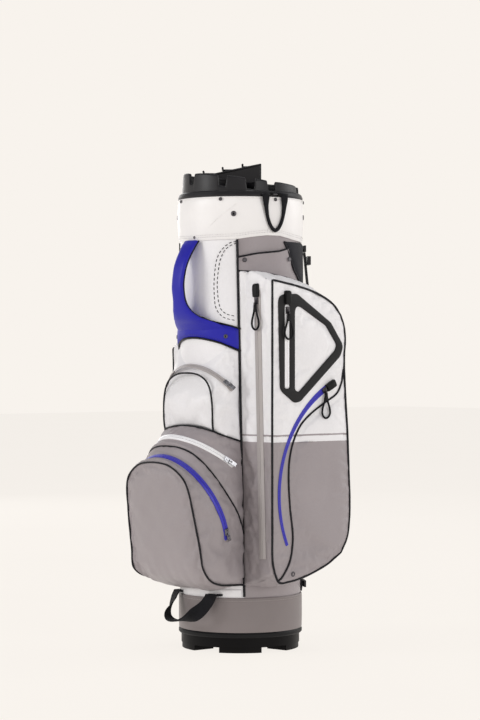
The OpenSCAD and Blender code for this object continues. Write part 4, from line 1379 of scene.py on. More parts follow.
GRIP = [(-117, 752), (-127, 738), (-142, 709), (-147, 690), (-149, 673), (-148, 655), (-144.5, 637), (-139,
                                                                      622),
        (-131.5, 611), (-122.5, 601.5), (-114.6, 589)]


def front_handle():
    path = curve([(0, y, z) for y, z in GRIP], 74)
    tan = unit(np.gradient(path, axis=0))
    half = np.interp(-path[:, 2], [-752, -738, -709, -673, -648, -637, -627, -618, -611, -605, -600, -590],
                     [19, 18.5, 16, 14.8, 15.4, 17.4, 22, 29, 38, 50, 63, 70])
    half = np.convolve(np.pad(half, 2, "edge"), np.ones(5) / 5, "valid")
    thick = np.interp(np.linspace(0, 1, 74), [0, 0.06, 0.2, 0.85, 0.95, 1], [2.6, 3.8, 5.0, 5.0, 3.8, 3])
    m = 28
    rows = []
    for i, p in enumerate(path):
        n = arr([0, tan[i][2], -tan[i][1]])
        if n[1] > 0:
            n = -n
        ring = []
        for k in range(m):
            a = 2 * math.pi * k / m
            ca, sa = math.cos(a), math.sin(a)
            x = half[i] * np.sign(ca) * abs(ca) ** 0.62
            h = thick[i] * np.sign(sa) * abs(sa) ** 0.75
            wrap = min(1.0, max(0.0, (634 - p[2]) / 26))
            back = -p[1] - math.sqrt(max(p[1] ** 2 - x * x, 1.0))
            ring.append(p + arr([x, wrap * back, 0]) + n * h)
        rows.append(ring)
    g = arr(rows)
    flat = g.reshape(-1, 3)
    c = np.repeat(path, m, 0)
    flat = flat + unit(flat - c) * (0.3 * waves(flat, 26, 91))[:, None]
    faces = grid_faces(74, m, close_u=True)
    faces += [tuple(range(m)), tuple(reversed(range(73 * m, 74 * m)))]
    ob = make("front_grip", flat, faces, mat_blue, slot="handle_leatherette")
    weld_and_orient(ob, 0.001)
    b = Build()
    for s in (1, -1):
        e = path + arr([s, 0, 0]) * half[:, None] * 0.985
        wrap = np.clip((634 - path[:, 2]) / 26, 0, 1)
        e[:, 1] += wrap * (-path[:, 1] - np.sqrt(path[:, 1] ** 2 - e[:, 0] ** 2)) + 2.2
        v, f = sweep(e[:-6], 1.5, 8)
        b.add(v, f)
    b.make("front_grip_edging", mat_piping)
    # the yoke
    n, mv = 121, 17
    u = np.linspace(-1, 1, n)
    x = 87 * u
    low = np.interp(np.abs(x), [0, 15, 30, 45, 60, 74, 87], [575.5, 575, 573, 570, 565.5, 558.5, 551])
    top = np.interp(np.abs(x), [0, 24, 40, 60, 75, 87], [612, 611.5, 605, 600, 595.5, 590])
    t = np.linspace(0, 1, mv)
    zs = low[None] + (top - low)[None] * t[:, None]
    deg = np.degrees(np.arcsin(x / 113.0))[None] + 0 * zs
    edge = np.minimum(np.minimum(t[:, None], 1 - t[:, None]) * (top - low)[None],
                      (1 - np.abs(u))[None] * 87)
    rise = 113.3 + 4.6 * (1 - np.exp(-edge / 3.2))
    q = on_tube(rise, deg, zs)
    flat = q.reshape(-1, 3)
    q = (flat + outward(flat) * (0.3 * waves(flat, 38, 93))[:, None]).reshape(q.shape)
    inner = on_tube(np.full(zs.shape, 112.3), deg, zs)
    v, f = shell_strip(q, inner)
    ob = make("front_yoke", v, f, mat_blue, slot="handle_leatherette")
    weld_and_orient(ob, 0.001)
    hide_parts("front_handle")
    bead("yoke_piping_low", on_tube(np.full(n, 114.6), deg[0], low - 0.8), 1.9)
    bead("yoke_piping_top", np.vstack([on_tube(np.full(n, 114.4), deg[0], top + 0.6)]), 1.6)
    b = Build()
    for k in (2, mv - 3):
        stitches(q[k] + outward(q[k]) * 0.15, b, 2.0, 3.0, 0.32)
    b.make("yoke_stitches", mat_thread_b)


OVAL_OUT = [(46.2, 749.5), (41, 747.6), (34, 738), (28.3, 721.8), (25.2, 690), (24.9, 654.4), (27.5, 625.3),
            (35, 611),
            (46.2, 605.5)]
OVAL_IN = [(46.4, 746.5), (44.4, 745.4), (37, 737), (31.7, 720.5), (28.6, 690), (28.1, 663), (31.9, 625.9),
           (38, 617),
           (45.8, 613.5)]


def oval_stitches():
    b = Build()
    for side in (1, -1):
        for line in (OVAL_OUT, OVAL_IN):
            q = curve([(d, z, 0) for d, z in line], 160)
            pts = on_tube(np.full(160, 112.35), side * q[:, 0], q[:, 1])
            stitches(pts, b, 3.2, 5.0, 0.75, 0.2)
    b.make("oval_stitches", mat_thread_k)


# ------------------------------------------------------------------ straight and curved zips


def flat_zip(name, path, across, out, half, mats, slot, node):
    """Zip tapes along a path: two coated halves with a groove, and a darker line in the groove."""
    b = Build()
    p = arr(path)
    w = np.broadcast_to(arr(across), p.shape)
    o = np.broadcast_to(arr(out), p.shape)
    h = np.broadcast_to(np.asarray(half, dtype=float), (len(p),))
    for s in (1, -1):
        prof = [(0.25, 0.1, 0), (0.25, 0.9, 0), (0.6, 1.25, 0), (1.2, 1.4, 0), (2.2, 1.35, 0), (2.7, 1.1, 0),
                (-0.9, 1.1, 1), (-0.2, 0.75, 1), (0, 0.1, 1)]
        verts = []
        for i in range(len(p)):
            for a, r, rel in prof:
                k = a + h[i] if rel else min(a, h[i] - 1.0 - (2.8 - a) * 0.1)
                verts.append(p[i] + w[i] * (s * k) + o[i] * r)
        m = len(prof)
        faces = tube_faces(len(p), m, flip=s < 0)
        b.add(verts, faces, 0)
    verts = []
    for i in range(len(p)):
        for a, r in ((-0.7, 0.1), (0.7, 0.1), (0.7, 0.7), (-0.7, 0.7)):
            verts.append(p[i] + w[i] * a + o[i] * r)
    faces = grid_faces(len(p), 4, close_u=True)
    faces += [(0, 1, 2, 3), tuple(reversed(range((len(p) - 1) * 4, len(p) * 4)))]
    b.add(verts, faces, 1)
    ob = b.make(name, mats, slot=slot)
    weld_and_orient(ob, 0.0005, sharp=40)
    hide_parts(node)
    return ob


def zips():
    arched_zip("zip_ball_tape", ARC_BALL, mat_zip_blue, "zip_blue", "zip_ball", mat_zip_blue)
    arched_zip("zip_mid_tape", ARC_MID, mat_zip_white, "zip_white", "zip_mid", mat_zip_white)
    arched_zip("zip_upper_tape", ARC_UPPER, mat_zip_grey, "zip_grey", "zip_upper", mat_zip_grey)
    down = unit(LONG_FOOT - LONG_TOP)
    side = arr([-down[2], 0, down[0]])
    p = np.linspace(LONG_TOP - down * 20, LONG_FOOT, 120) * arr([1, 0, 1]) + arr([0, -69.65, 0])
    flat_zip("zip_long_tape", p, side, [0, -1, 0], 9.0, [mat_zip_grey, mat_zip_line], "zip_grey", "zip_long")
    p = np.stack([np.full(60, 174.1), np.full(60, -37.0), np.linspace(631, 485, 60)], axis=1)
    flat_zip("zip_frame_tape", p, [0, 1, 0], [1, 0, 0], 5.5, [mat_zip_white, mat_zip_line], "zip_white",
             "zip_frame")
    a = np.linspace(CURVE_ZIP[2], CURVE_ZIP[3], 110)
    yz = curve_zip_point(a)
    p = np.stack([np.full(110, 173.8), yz[:, 0], yz[:, 1]], axis=1)
    rad = np.radians(a)
    w = np.stack([0 * rad, np.cos(rad), np.sin(rad)], axis=1)
    half = np.interp(a, [119, 135, 160, 204], [5.9, 4.5, 3.5, 3.1])
    flat_zip("zip_curve_tape", p, w, [1, 0, 0], half, [mat_zip_blue, mat_zip_line_b], "zip_blue", "zip_curve")
    p = np.stack([np.full(90, -149.7), np.full(90, 8.0), np.linspace(520, 200, 90)], axis=1)
    flat_zip("zip_left_tape", p, [0, 1, 0], [-1, 0, 0], 7.0, [mat_zip_grey, mat_zip_line], "zip_grey",
             "zip_left")


def rounded(points, radius, n=7):
    """A closed outline with its corners rounded."""
    p = arr(points)
    out = []
    for i in range(len(p)):
        a, b, c = p[i - 1], p[i], p[(i + 1) % len(p)]
        u, v = unit(a - b), unit(c - b)
        half = math.acos(max(-1, min(1, u @ v))) / 2
        cut = min(radius / math.tan(half), 0.45 * np.linalg.norm(a - b), 0.45 * np.linalg.norm(c - b))
        s, e = b + u * cut, b + v * cut
        for k in range(n + 1):
            t = k / n
            out.append(s * (1 - t) ** 2 + 2 * b * t * (1 - t) + e * t**2)
    return arr(out)


WELD_OUTER = [(-58, 651), (-13, 653), (69, 602), (100, 560), (92, 541), (-6, 459), (-20, 457), (-53, 480)]
WELD_INNER = [(-19, 638), (57, 597), (84, 562), (79, 551), (-10, 475), (-19, 480)]


def weld_frame():
    c = bpy.data.curves.new("weld", "CURVE")
    c.dimensions = "2D"
    c.fill_mode = "BOTH"
    c.extrude = 0.35 * MM
    c.bevel_depth = 0.55 * MM
    c.bevel_resolution = 3
    slot_hole = [(-43.4, 482), (-30.6, 482), (-30.6, 634), (-43.4, 634)]
    for line in (rounded(WELD_OUTER, 16), rounded(WELD_INNER, 13), rounded(slot_hole, 5)):
        sp = c.splines.new("POLY")
        sp.points.add(len(line) - 1)
        for pt, (y, z) in zip(sp.points, line):
            pt.co = (y * MM, z * MM, 0, 1)
        sp.use_cyclic_u = True
    holder = bpy.data.objects.new("weld_curve", c)
    bpy.context.scene.collection.objects.link(holder)
    bpy.context.view_layer.update()
    me = bpy.data.meshes.new_from_object(holder.evaluated_get(bpy.context.evaluated_depsgraph_get()))
    v = arr([tuple(q.co) for q in me.vertices]) / MM
    faces = [tuple(q.vertices) for q in me.polygons]
    bpy.data.objects.remove(holder)
    bpy.data.curves.remove(c)
    bpy.data.meshes.remove(me)
    pts = np.stack([174.75 + v[:, 2], v[:, 0], v[:, 1]], axis=1)
    ob = make("weld_frame_film", pts, faces, mat_weld, slot="weld_rubber")
    weld_and_orient(ob, 0.01, sharp=50)
    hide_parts("weld_frame")


# ------------------------------------------------------------------ pulls


def pull_points():
    """The teardrop loop of a cord pull: its centreline in its own frame, x down its length, y across."""
    left = [(2, -1.5), (9, -2.2), (16, -3.6), (24, -6.6), (31, -9.0), (38, -9.6), (43, -7.6), (46.6, -3.4),
            (47.4, 0)]
    right = [(x, -y) for x, y in left[:-1]][::-1]
    return left + right


def cord_pulls():
    for name, origin, x, y, z in (
        ("long", (131.129, -75.6, 636.002), (0.032310707, 0, -0.999477873), (0.999477873, 0, 0.032310707),
         (0, -1, 0)),
        ("frame", (179.6, -37, 619), (0, 0, -1), (0, 1, 0), (1, 0, 0)),
        ("curve", (179.6, 53.342, 475.558), (0, 0, -1), (0, 1, 0), (1, 0, 0)),
        ("left", (-155.6, 8, 508), (0, 0, -1), (0, -1, 0), (-1, 0, 0)),
    ):
        body = "pull_" + name
        line = curve([(a, b, 0.2) for a, b in pull_points()], 110)
        b = Build()
        r = 1.85 * (1 + 0.04 * np.sin(np.linspace(0, 260, 110)))
        v, f = sweep(line, r, 10, up=(0, 0, 1))
        b.add(place(v, origin, x, y, z), f, 0)
        # the moulded sleeve that closes the loop, and the eye on the slider
        sleeve = curve([(1.4, 0, 0.1), (6, 0, 0.1), (11, 0, 0.1), (15.4, 0, 0.1)], 22)
        wide = np.interp(np.linspace(0, 1, 22), [0, 0.1, 0.5, 0.9, 1], [1.6, 2.5, 2.9, 3.7, 3.2])
        v, f = sweep(sleeve, wide, 14, flat=0.62, up=(0, 1, 0))
        b.add(place(v, origin, x, y, z), f, 1)
        for k in range(4):
            a = 5.0 + k * 2.6
            ring = [(a, 3.05 * math.cos(t), 0.1 + 2.0 * math.sin(t)) for t in np.linspace(0, 2 * math.pi,
                                                                      21)[:-1]]
            v, f = sweep(ring, 0.35, 5, closed=True)
            b.add(place(v, origin, x, y, z), f, 1)
        v, f = sweep([(0, -2.7, 0), (0, -1, 0), (0, 1, 0), (0, 2.7, 0)], 0.85, 8)
        b.add(place(v, origin, x, y, z), f, 1)
        for s in (-1, 1):
            v, f = sweep([(0, s * 2.2, 0), (1.2, s * 2.1, 0), (2.8, s * 1.6, 0)], 0.9, 8)
            b.add(place(v, origin, x, y, z), f, 1)
        ob = b.make("cord_" + body, [mat_cord, mat_rubber], body=body, slot="pull_cord", sharp=60)
        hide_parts(body)


def garages():
    """Moulded hoods that the sliders run up to, each with a hollow mouth."""
    down = unit(LONG_FOOT - LONG_TOP)
    turn = math.radians(CURVE_ZIP[2] - 181)
    x_curve = arr([0, math.sin(turn), -math.cos(turn)])
    y_curve = arr([0, math.cos(turn), math.sin(turn)])
    cy, cz = curve_zip_point(CURVE_ZIP[2] - 1)
    spots = (
        (LONG_TOP - down * 12 + arr([0, -0.6, 0]), down, (-down[2], 0, down[0]), (0, -1, 0)),
        ((174.8, -37, 639), (0, 0, -1), (0, 1, 0), (1, 0, 0)),
        ((174.6, cy, cz), x_curve, y_curve, (1, 0, 0)),
        ((-150.6, 8, 528), (0, 0, -1), (0, -1, 0), (-1, 0, 0)),
    )
    outline = [(-20, 4.6, 2.4), (-19.4, 5.9, 4.2), (-17.8, 6.8, 6.0), (-15, 7.1, 7.0), (-8, 7.15, 7.3),
               (0, 7.0, 7.2), (3, 6.8, 6.9), (4.4, 6.4, 6.4), (4.7, 5.6, 5.6), (4.3, 5.1, 5.1), (0.5, 4.9,
                                                                      4.9)]
    b = Build()
    m = 22
    for origin, x, y, z in spots:
        rows = []
        for at, w, h in outline:
            for k in range(m):
                a = math.pi * k / (m - 1)
                ca, sa = math.cos(a), math.sin(a)
                rows.append((at, w * np.sign(ca) * abs(ca) ** 0.45, h * abs(sa) ** 0.5))
        faces = tube_faces(len(outline), m)
        b.add(place(rows, origin, x, y, z), faces)
    ob = b.make("zip_hoods", mat_rubber, slot="garage_plastic")
    weld_and_orient(ob, 0.0005, sharp=50)
    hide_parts("zip_garages")


# ------------------------------------------------------------------ back panel and carry strap


def back_panel():
    n, m = 57, 190
    zs = np.linspace(103, 751.2, m)
    half = np.interp(zs, [90, 120, 610, 650, 682, 716, 760], [70, 76, 78, 84, 94, 106, 110.5])
    half = np.minimum(half, 106.5)
    u = np.linspace(-1, 1, n)
    rows = []
    for z, h in zip(zs, half):
        wide = float(np.interp(z, [90, 120, 610, 650, 682, 700, 723, 743, 753], [37.5, 41.4, 42.7, 47, 58,
                                                                      70, 76.8,
                                                                             82.4, 85.4]))
        deg = 180 - u * wide
        x = u * np.radians(wide) * 115
        edge = np.minimum((1 - np.abs(u)) * h, min(z - 102, 752.2 - z))
        lift = 1 - np.exp(-edge / 3.0)
        groove = np.exp(-(np.abs(x) / 3.0) ** 2) + np.exp(-((np.abs(x) - 45.0) / 2.6) ** 2) * (z < 690)
        rung = sum(math.exp(-(((z - c) / 3.2) ** 2)) for c in (170, 250, 330, 410, 490, 570, 650))
        dip = np.clip(groove + rung * (np.abs(x) < 60), 0, 1)
        r = 112.9 + 4.4 * lift * (1 - 0.62 * dip)
        rows.append(on_tube(r, deg, np.full(n, z)))
    outer = arr(rows)
    flat = outer.reshape(-1, 3)
    outer = (flat + outward(flat) * (0.35 * waves(flat, 40, 95))[:, None]).reshape(outer.shape)
    inner = outward(outer) * 112.25 + outer * arr([0, 0, 1])
    v, f = shell_strip(outer, inner)
    ob = make("back_panel_pad", v, f, mat_mesh, slot="back_mesh")
    weld_and_orient(ob, 0.001)
    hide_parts("back_panel")
    for s, tag in ((0, "left"), (n - 1, "right")):
        e = outer[:, s]
        bead("back_piping_" + tag, e + outward(e) * 0.9, 1.8)


STRAP_T = math.radians(146)


def strap_plane(r, w, z):
    """A point in the strap's plane: r from the tube's axis, w across the strap."""
    s, c = math.sin(STRAP_T), math.cos(STRAP_T)
    return (r * s + w * c, -r * c + w * s, z)


def strap():
    across = arr([math.cos(STRAP_T), math.sin(STRAP_T), 0])
    b = Build()
    for line in ([(119.4, 735), (120.4, 726), (121.2, 718), (124.0, 690), (126.6, 664), (127.4, 646)],
                 [(127.4, 314), (126.4, 300), (124.6, 250), (121.6, 190), (119.9, 150), (119.4, 128)]):
        p = curve([strap_plane(r, 0, z) for r, z in line], 60)
        v, f = band(p, across, 12.6, 1.9, crown=0.1)
        b.add(v, f)
    ob = b.make("strap_webbing_soft", mat_web, slot="webbing")
    weld_and_orient(ob, 0.001, sharp=45)
    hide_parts("strap_webbing")
    line = curve([(125.8, 652, 0), (129, 600, 0), (131, 480, 0), (129, 360, 0), (125.8, 308, 0)], 120)
    m = 36
    rows = []
    for i, (r, z, _) in enumerate(line):
        t = i / 119
        end = min(t, 1 - t) * 119 / 9.0
        w = 24.0 * min(1.0, 0.62 + 0.38 * math.sqrt(min(1.0, end)))
        h = 4.3 * min(1.0, 0.4 + 0.6 * min(1.0, end))
        ring = []
        for k in range(m):
            a = 2 * math.pi * k / m
            ca, sa = math.cos(a), math.sin(a)
            x = w * np.sign(ca) * abs(ca) ** 0.45
            y = h * np.sign(sa) * abs(sa) ** 0.8
            q = abs(abs(x) - 9.0)
            y *= 1 - 0.42 * math.exp(-((q / 1.6) ** 2))
            ring.append(strap_plane(r + 4.6 + y, x, z))
        rows.append(ring)
    g = arr(rows).reshape(-1, 3)
    centre = np.repeat(arr([strap_plane(r + 4.6, 0, z) for r, z, _ in line]), m, 0)
    g = g + unit(g - centre) * (0.35 * waves(g, 32, 97))[:, None]
    faces = grid_faces(120, m, close_u=True)
    faces += [tuple(range(m)), tuple(reversed(range(119 * m, 120 * m)))]
    ob = make("strap_pad_soft", g, faces, mat_mesh, slot="strap_foam")
    weld_and_orient(ob, 0.001)
    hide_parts("strap_pad")
    for s in (-1, 1):
        p = [strap_plane(r + 4.6, s * (23.6 if 6 < i < 113 else 20), z) for i, (r, z, _) in enumerate(line)]
        bead("strap_piping_%s" % ("a" if s < 0 else "b"), resample(arr(p)[4:-4], 120), 1.7)


# ------------------------------------------------------------------ handles of webbing


def side_handle():
    t = math.radians(-68)
    out = arr([math.sin(t), -math.cos(t), 0])
    across = arr([math.cos(t), math.sin(t), 0])
    line = [(3.8, 748), (3.9, 736), (5.6, 724), (15.4, 706), (21.4, 684), (22.6, 664), (21.4, 645), (15.4,
                                                                      622),
            (5.6, 604), (3.9, 592), (3.8, 577)]
    p = curve([tuple(out * (TUBE_R + r) + arr([0, 0, z])) for r, z in line], 110)
    b = Build()
    v, f = band(p, across, 13.6, 2.4, crown=0.3)
    b.add(v, f, 0)
    ob = b.make("side_handle_web", mat_web, slot="webbing")
    weld_and_orient(ob, 0.001, sharp=45)
    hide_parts("side_handle")
    grip = p[34:76]
    n = len(grip)
    tan = unit(np.gradient(grip, axis=0))
    nor = np.cross(tan, across)
    if nor[n // 2] @ out < 0:
        nor = -nor
    m = 24
    rows = []
    for i in range(n):
        e = min(i, n - 1 - i)
        k = min(1.0, 0.45 + 0.2 * e)
        for j in range(m):
            a = 2 * math.pi * j / m
            ca, sa = math.cos(a), math.sin(a)
            rows.append(grip[i] + nor[i] * (1.2 + 4.0 * k * np.sign(sa) * abs(sa) ** 0.8)
                        + across * (14.6 * np.sign(ca) * abs(ca) ** 0.5))
    faces = tube_faces(n, m)
    ob = make("side_handle_grip", rows, faces, mat_mesh, slot="webbing")
    weld_and_orient(ob, 0.001)


def rim_handle():
    """The towel loop on the rim: flat webbing at its lugs that narrows to a rolled loop."""
    t = math.radians(82)
    out = arr([math.sin(t), -math.cos(t), 0])
    tang = arr([math.cos(t), math.sin(t), 0])
    origin = out * 120.2 + arr([0, 0, 836])
    down = arr([0, 0, -1])
    b = Build()
    line = [(0, -20), (13, -20), (28, -18.8), (42, -16.2), (54, -11.8), (62.5, -6), (66, 0)]
    line += [(x, -y) for x, y in line[:-1]][::-1]
    p = curve([(x, y, 0) for x, y in line], 120)
    s = np.linspace(0, 1, 120)
    near = np.minimum(s, 1 - s)
    half = np.interp(near, [0, 0.07, 0.16, 0.27, 0.5], [8.0, 7.2, 4.6, 3.4, 3.4])
    thick = np.interp(near, [0, 0.05, 0.1, 0.2, 0.5], [1.2, 1.2, 1.7, 2.1, 2.2])
    tan = unit(np.gradient(p, axis=0))
    m = 14
    rows = []
    for i in range(120):
        w = np.cross(tan[i], arr([0, 0, 1]))
        for j in range(m):
            a = 2 * math.pi * j / m
            ca, sa = math.cos(a), math.sin(a)
            k = 0.55 if near[i] < 0.07 else 0.8
            rows.append(p[i] + w * (half[i] * np.sign(ca) * abs(ca) ** k) + arr([0, 0, 1]) * (thick[i] * sa))
    faces = grid_faces(120, m, close_u=True)
    faces += [tuple(range(m)), tuple(reversed(range(119 * m, 120 * m)))]
    b.add(place(rows, origin, down, tang, out), faces, 0)
    for y0, y1 in ((-27, -12), (27, 12)):
        v, f = sweep([(0, y0, 0), (0, (y0 + y1) / 2, 0), (0, y1, 0)], 2.3, 12)
        b.add(place(v, origin, down, tang, out), f, 0)
    v, f = sweep([(0, -27.5, 0), (0, -9, 0), (0, 9, 0), (0, 27.5, 0)], 1.15, 10)
    b.add(place(v, origin, down, tang, out), f, 1)
    ob = b.make("rim_loop_web", [mat_web, mat_metal], body="rim_handle", slot="webbing")
    weld_and_orient(ob, 0.0005)
    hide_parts("rim_handle")


def base_handle():
    """A webbing loop sewn at both ends, that turns on edge where it stands out."""
    right = [(49.5, -110.5, 106.5), (50, -115, 99.5), (47.5, -121.5, 89.5), (41, -131, 78), (29, -143.5, 67),
             (14, -152.5, 61), (0, -155, 59.5)]
    line = right + [(-x, y, z) for x, y, z in right[:-1]][::-1]
    p = curve(line, 120)
    tan = unit(np.gradient(p, axis=0))
    s = np.linspace(0, 1, 120)
    turn = np.radians(np.interp(s, [0, 0.12, 0.5, 0.88, 1], [14, 24, 90, 156, 166]))
    w = np.stack([np.cos(turn), np.sin(turn), 0 * turn], axis=1)
    w = unit(w - tan * np.sum(w * tan, axis=1, keepdims=True))
    v, f = band(p, w, 12.8, 2.0, crown=0.1)
    ob = make("base_loop_web", v, f, mat_web, body="base_handle", slot="webbing")
    weld_and_orient(ob, 0.0005, sharp=45)
    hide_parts("base_handle")


def base_band():
    prof = [(112.3, 37.5), (114.1, 37.6), (114.5, 38.6), (114.6, 60), (114.6, 92), (114.5, 98.6), (114.2,
                                                                      100.6),
            (113.4, 101.3), (112.4, 101.2)]
    n = 240
    verts = []
    for i in range(n):
        verts += [polar(r, 360.0 * i / n, z) for r, z in prof]
    p = arr(verts)
    out = outward(p)
    puff = np.tile([0, .2, .6, 1, 1, .6, .3, .1, 0], n)
    p = p + out * (0.4 * waves(p, 60, 23) * puff)[:, None]
    # The base band takes the grey leatherette that has painted shade darkened into its colour.
    ob = make("base_band_soft", p, grid_faces(n, len(prof), close_u=True, close_v=True, flip=True), mat_band_painted_shade,
              slot="band_leatherette", sharp=50)
    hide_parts("base_band")
    b = Build()
    a = np.linspace(0, 360, 721)[:-1]
    stitches(on_tube(np.full(720, 114.75), a, np.full(720, 95.5)), b, 1.6, 2.8, 0.36, closed=True)
    b.make("base_band_stitches", mat_thread_g2)
    deg = np.linspace(-48, 51, 70)
    lo, hi = on_tube(np.full(70, 112.9), deg, np.full(70, 101.0)), on_tube(np.full(70, 112.9), deg,
                                                                      np.full(70, 117.0))
    t = np.linspace(0, 1, 5)[:, None, None]
    outer = lo[None] * (1 - t) + hi[None] * t
    v, f = shell_strip(outer, outer - outward(outer) * 0.8)
    ob = make("front_low_strip", v, f, mat_white)
    weld_and_orient(ob, 0.001)


# ------------------------------------------------------------------ CAD pieces that stay


def cad_extent(node):
    """The lowest and highest corner of a CAD node, in mm."""
    ob = bpy.data.objects[node]
    corners = arr([ob.matrix_world @ Vector(c) for c in ob.bound_box]) / MM
    return corners.min(0), corners.max(0)


def base_foam():
    """The foam pad in the tray: a low disc, crowned and rounded at its rim."""
    low, high = cad_extent("base_pad")
    edge, z0, z1 = high[0] - 0.2, low[2], high[2]
    profile = [(2, z1), (36, z1 - 0.1), (72, z1 - 0.5), (edge - 9, z1 - 1.2), (edge - 3, z1 - 2.8),
               (edge, z1 - 6), (edge, z0 + 4), (edge - 2, z0 + 1), (edge - 6, z0), (2, z0)]
    sides = 96
    rows = [[(r * math.cos(a), r * math.sin(a), z) for a in np.linspace(0, 2 * math.pi, sides,
                                                                      endpoint=False)]
            for r, z in profile]
    v = arr(rows).reshape(-1, 3)
    v[:, 2] += 0.25 * waves(v, 40, 121) * (v[:, 2] > z1 - 4)
    faces = grid_faces(len(profile), sides, close_u=True)
    faces += [tuple(range(sides)), tuple(reversed(range(len(v) - sides, len(v))))]
    ob = make("base_pad_soft", v, faces, mat_liner, slot="base_foam")
    weld_and_orient(ob, 0.001)
    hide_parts("base_pad")


def divider_cloth():
    """The long dividers hang as cloth: finely divided plates, a little uneven between their two hems."""
    src = bpy.data.objects["divider_panels"]
    low, high = cad_extent("divider_panels")
    bm = bmesh.new()
    bm.from_mesh(src.data)
    bm.transform(src.matrix_world)
    bmesh.ops.remove_doubles(bm, verts=bm.verts, dist=0.001 * MM)
    for axis, step in ((0, 14), (1, 14), (2, 42)):
        normal = [0, 0, 0]
        normal[axis] = 1
        for at in np.arange(low[axis] + step, high[axis] - 1, step):
            spot = [0, 0, 0]
            spot[axis] = at * MM
            bmesh.ops.bisect_plane(bm, geom=bm.verts[:] + bm.edges[:] + bm.faces[:], plane_co=spot,
                                   plane_no=normal)
    bmesh.ops.triangulate(bm, faces=[f for f in bm.faces if len(f.verts) > 4])
    p = arr([v.co for v in bm.verts]) / MM
    free = np.clip(np.minimum(p[:, 2] - low[2], high[2] - p[:, 2]) / 90, 0, 1)
    for axis, seed in ((0, 131), (1, 132)):
        p[:, axis] += 1.0 * free * waves(p * arr([1, 1, 0.4]), 90, seed)
    faces = [[v.index for v in f.verts] for f in bm.faces]
    bm.free()
    ob = make("divider_cloth", p, faces, mat_divider, slot="divider_fabric", smooth=False)
    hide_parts("divider_panels")


def base_loop_ends():
    """The two stubs of webbing that the base loop is sewn to: flat, with a rounded fold at the front."""
    half_width, half_thick, front = 12.4, 1.9, -109.2
    b = Build()
    for side in (-1, 1):
        rows = []
        for x in np.linspace(50 - half_width, 50 + half_width, 15):
            wall = -math.sqrt(112.4**2 - x * x)
            nose = front + half_thick
            ring = [(wall, 106 + half_thick), (nose, 106 + half_thick)]
            ring += [(nose - half_thick * math.sin(a), 106 + half_thick * math.cos(a))
                     for a in np.linspace(0.4, math.pi - 0.4, 7)]
            ring += [(nose, 106 - half_thick), (wall, 106 - half_thick)]
            rows.append([(side * x, min(y, wall), z) for y, z in ring])
        v = arr(rows).reshape(-1, 3)
        m = len(rows[0])
        f = grid_faces(len(rows), m, close_u=True)
        f += [tuple(range(m)), tuple(reversed(range(len(v) - m, len(v))))]
        b.add(v, f)
    ob = b.make("base_loop_stubs", [mat_web], slot="webbing")
    weld_and_orient(ob, 0.0005, sharp=45)
    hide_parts("base_handle_ends")


def close_shells():
    """Gives the open pocket shells the thickness of cloth, and caps the ends of the arched tapes."""
    cloth_thick, tape_sides = 0.9, 8
    for name in ("front_pockets", "side_pocket_right", "side_pocket_left"):
        mod = bpy.data.objects[name].modifiers.new("cloth", "SOLIDIFY")
        mod.thickness = cloth_thick * MM
        mod.offset = -1
        mod.use_rim = True
    for tag in ("ball", "mid", "upper"):
        me = bpy.data.objects["zip_" + tag + "_tape"].data
        bm = bmesh.new()
        bm.from_mesh(me)
        bmesh.ops.holes_fill(bm, edges=bm.edges, sides=tape_sides)
        bmesh.ops.recalc_face_normals(bm, faces=bm.faces)
        bm.to_mesh(me)
        bm.free()


def dress_cad():
    finishes = {
        "base_tray": (mat_base, 0.5), "base_socket": (mat_base, 0.3),
        "base_trim_ring": (mat_rubber, 1.2), "rim_ring": (mat_plastic, 0.8), "organizer_grid": (mat_plastic,
                                                                      0.5),
        "stiffener_rods": (mat_metal, 0.4), "rim_screws": (mat_metal, 0.3),
        "slip_snaps": (mat_metal, 0.25),
        "drain_eyelet": (mat_metal, 0.2),
        "strap_buckles": (mat_plastic, 0.6), "strap_anchors": (mat_plastic, 0.7),
        "side_handle_plates": (mat_plastic, 0.5), "rim_lugs": (mat_base, 0.3),
    }
    for tag in ("ball", "mid", "upper"):
        finishes["slider_" + tag] = (mat_silver, 0.22)
        finishes["pull_" + tag] = (mat_silver, 0.22)
    for tag in ("long", "frame", "curve", "left"):
        finishes["slider_" + tag] = (mat_metal, 0.22)
    for node, (mat, width) in finishes.items():
        ob = bpy.data.objects[node]
        ob.data.materials.clear()
        ob.data.materials.append(mat)
        if width:
            mod = ob.modifiers.new("edges", "BEVEL")
            mod.width = width * MM
            mod.segments = 3
            mod.limit_method = "ANGLE"
            mod.angle_limit = math.radians(32)
            mod.harden_normals = False
            mod.use_clamp_overlap = True
            mod.miter_outer = "MITER_ARC"
        for poly in ob.data.polygons:
            poly.use_smooth = True
        ob.data.set_sharp_from_angle(angle=math.radians(34))


tube_fabric()
seam_pipings()
collar()
rivets()
organizer_rim()
organizer_lips()
front_module()
front_piping()
right_module()
left_module()
slip_pocket()
front_handle()
oval_stitches()
zips()
weld_frame()
garages()
cord_pulls()
back_panel()
strap()
side_handle()
rim_handle()
base_handle()
base_band()
base_foam()
divider_cloth()
base_loop_ends()
close_shells()
dress_cad()

# ------------------------------------------------------------------ floor, light and camera


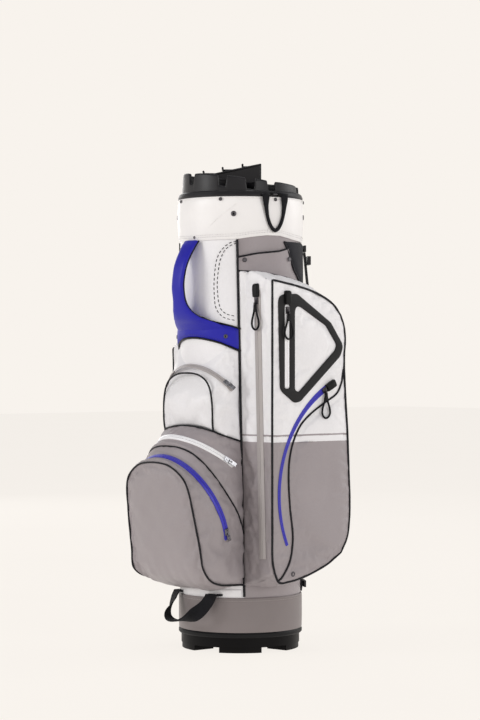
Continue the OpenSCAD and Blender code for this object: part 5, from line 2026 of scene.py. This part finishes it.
def studio():
    m = Mat("studio_paper", roughness=0.9, specular=0.0)
    m.colour(m.ramp(m.noise(1.5, 2.0), [(0.2, srgb(84, 82, 79)), (0.8, srgb(88, 86, 83))]))
    m.bsdf.inputs["Emission Color"].default_value = srgb(248, 243, 237)
    m.bsdf.inputs["Emission Strength"].default_value = 0.93
    bpy.ops.mesh.primitive_plane_add(size=30, location=(0, 0, -0.0005))
    floor = bpy.context.object
    floor.name = "studio_floor"
    floor.data.materials.append(m.m)
    world = bpy.data.worlds.new("studio")
    bpy.context.scene.world = world
    world.use_nodes = True
    t = world.node_tree
    back = t.nodes["Background"]
    coord = t.nodes.new("ShaderNodeTexCoord")
    split = t.nodes.new("ShaderNodeSeparateXYZ")
    ramp = t.nodes.new("ShaderNodeValToRGB")
    t.links.new(coord.outputs["Generated"], split.inputs[0])
    t.links.new(split.outputs["Z"], ramp.inputs["Fac"])
    t.links.new(ramp.outputs["Color"], back.inputs["Color"])
    e = ramp.color_ramp.elements
    e[0].position, e[0].color = 0.22, srgb(248, 243, 237)
    e[1].position, e[1].color = 0.48, srgb(124, 124, 126)
    back.inputs["Strength"].default_value = 1.0
    for name, place_at, size, power in (
        ("key", (-1.9, -4.6, 2.3), (1.5, 2.2), 86), ("fill", (-3.8, 1.6, 1.8), (1.6, 2.4), 30),
        ("side", (4.7, -0.3, 2.0), (1.4, 2.4), 52), ("back", (1.2, 4.4, 2.2), (1.8, 2.4), 44),
        ("top", (0.0, 0.3, 4.0), (2.4, 2.4), 30),
    ):
        data = bpy.data.lights.new(name, "AREA")
        data.shape = "RECTANGLE"
        data.size, data.size_y = size
        data.energy = power
        ob = bpy.data.objects.new(name, data)
        bpy.context.scene.collection.objects.link(ob)
        ob.location = place_at
        ob.rotation_euler = (Vector((0, 0, 0.5)) - Vector(place_at)).to_track_quat("-Z", "Y").to_euler()
    cam = bpy.data.cameras.new("photo_camera")
    cam.lens = 109.1
    cam.sensor_width = 36
    ob = bpy.data.objects.new("photo_camera", cam)
    bpy.context.scene.collection.objects.link(ob)
    ob.location = (3.125, -2.623, 0.534)
    ob.rotation_euler = (math.radians(90), 0, math.radians(50))
    bpy.context.scene.camera = ob
    bpy.context.scene.view_settings.view_transform = "Standard"


studio()
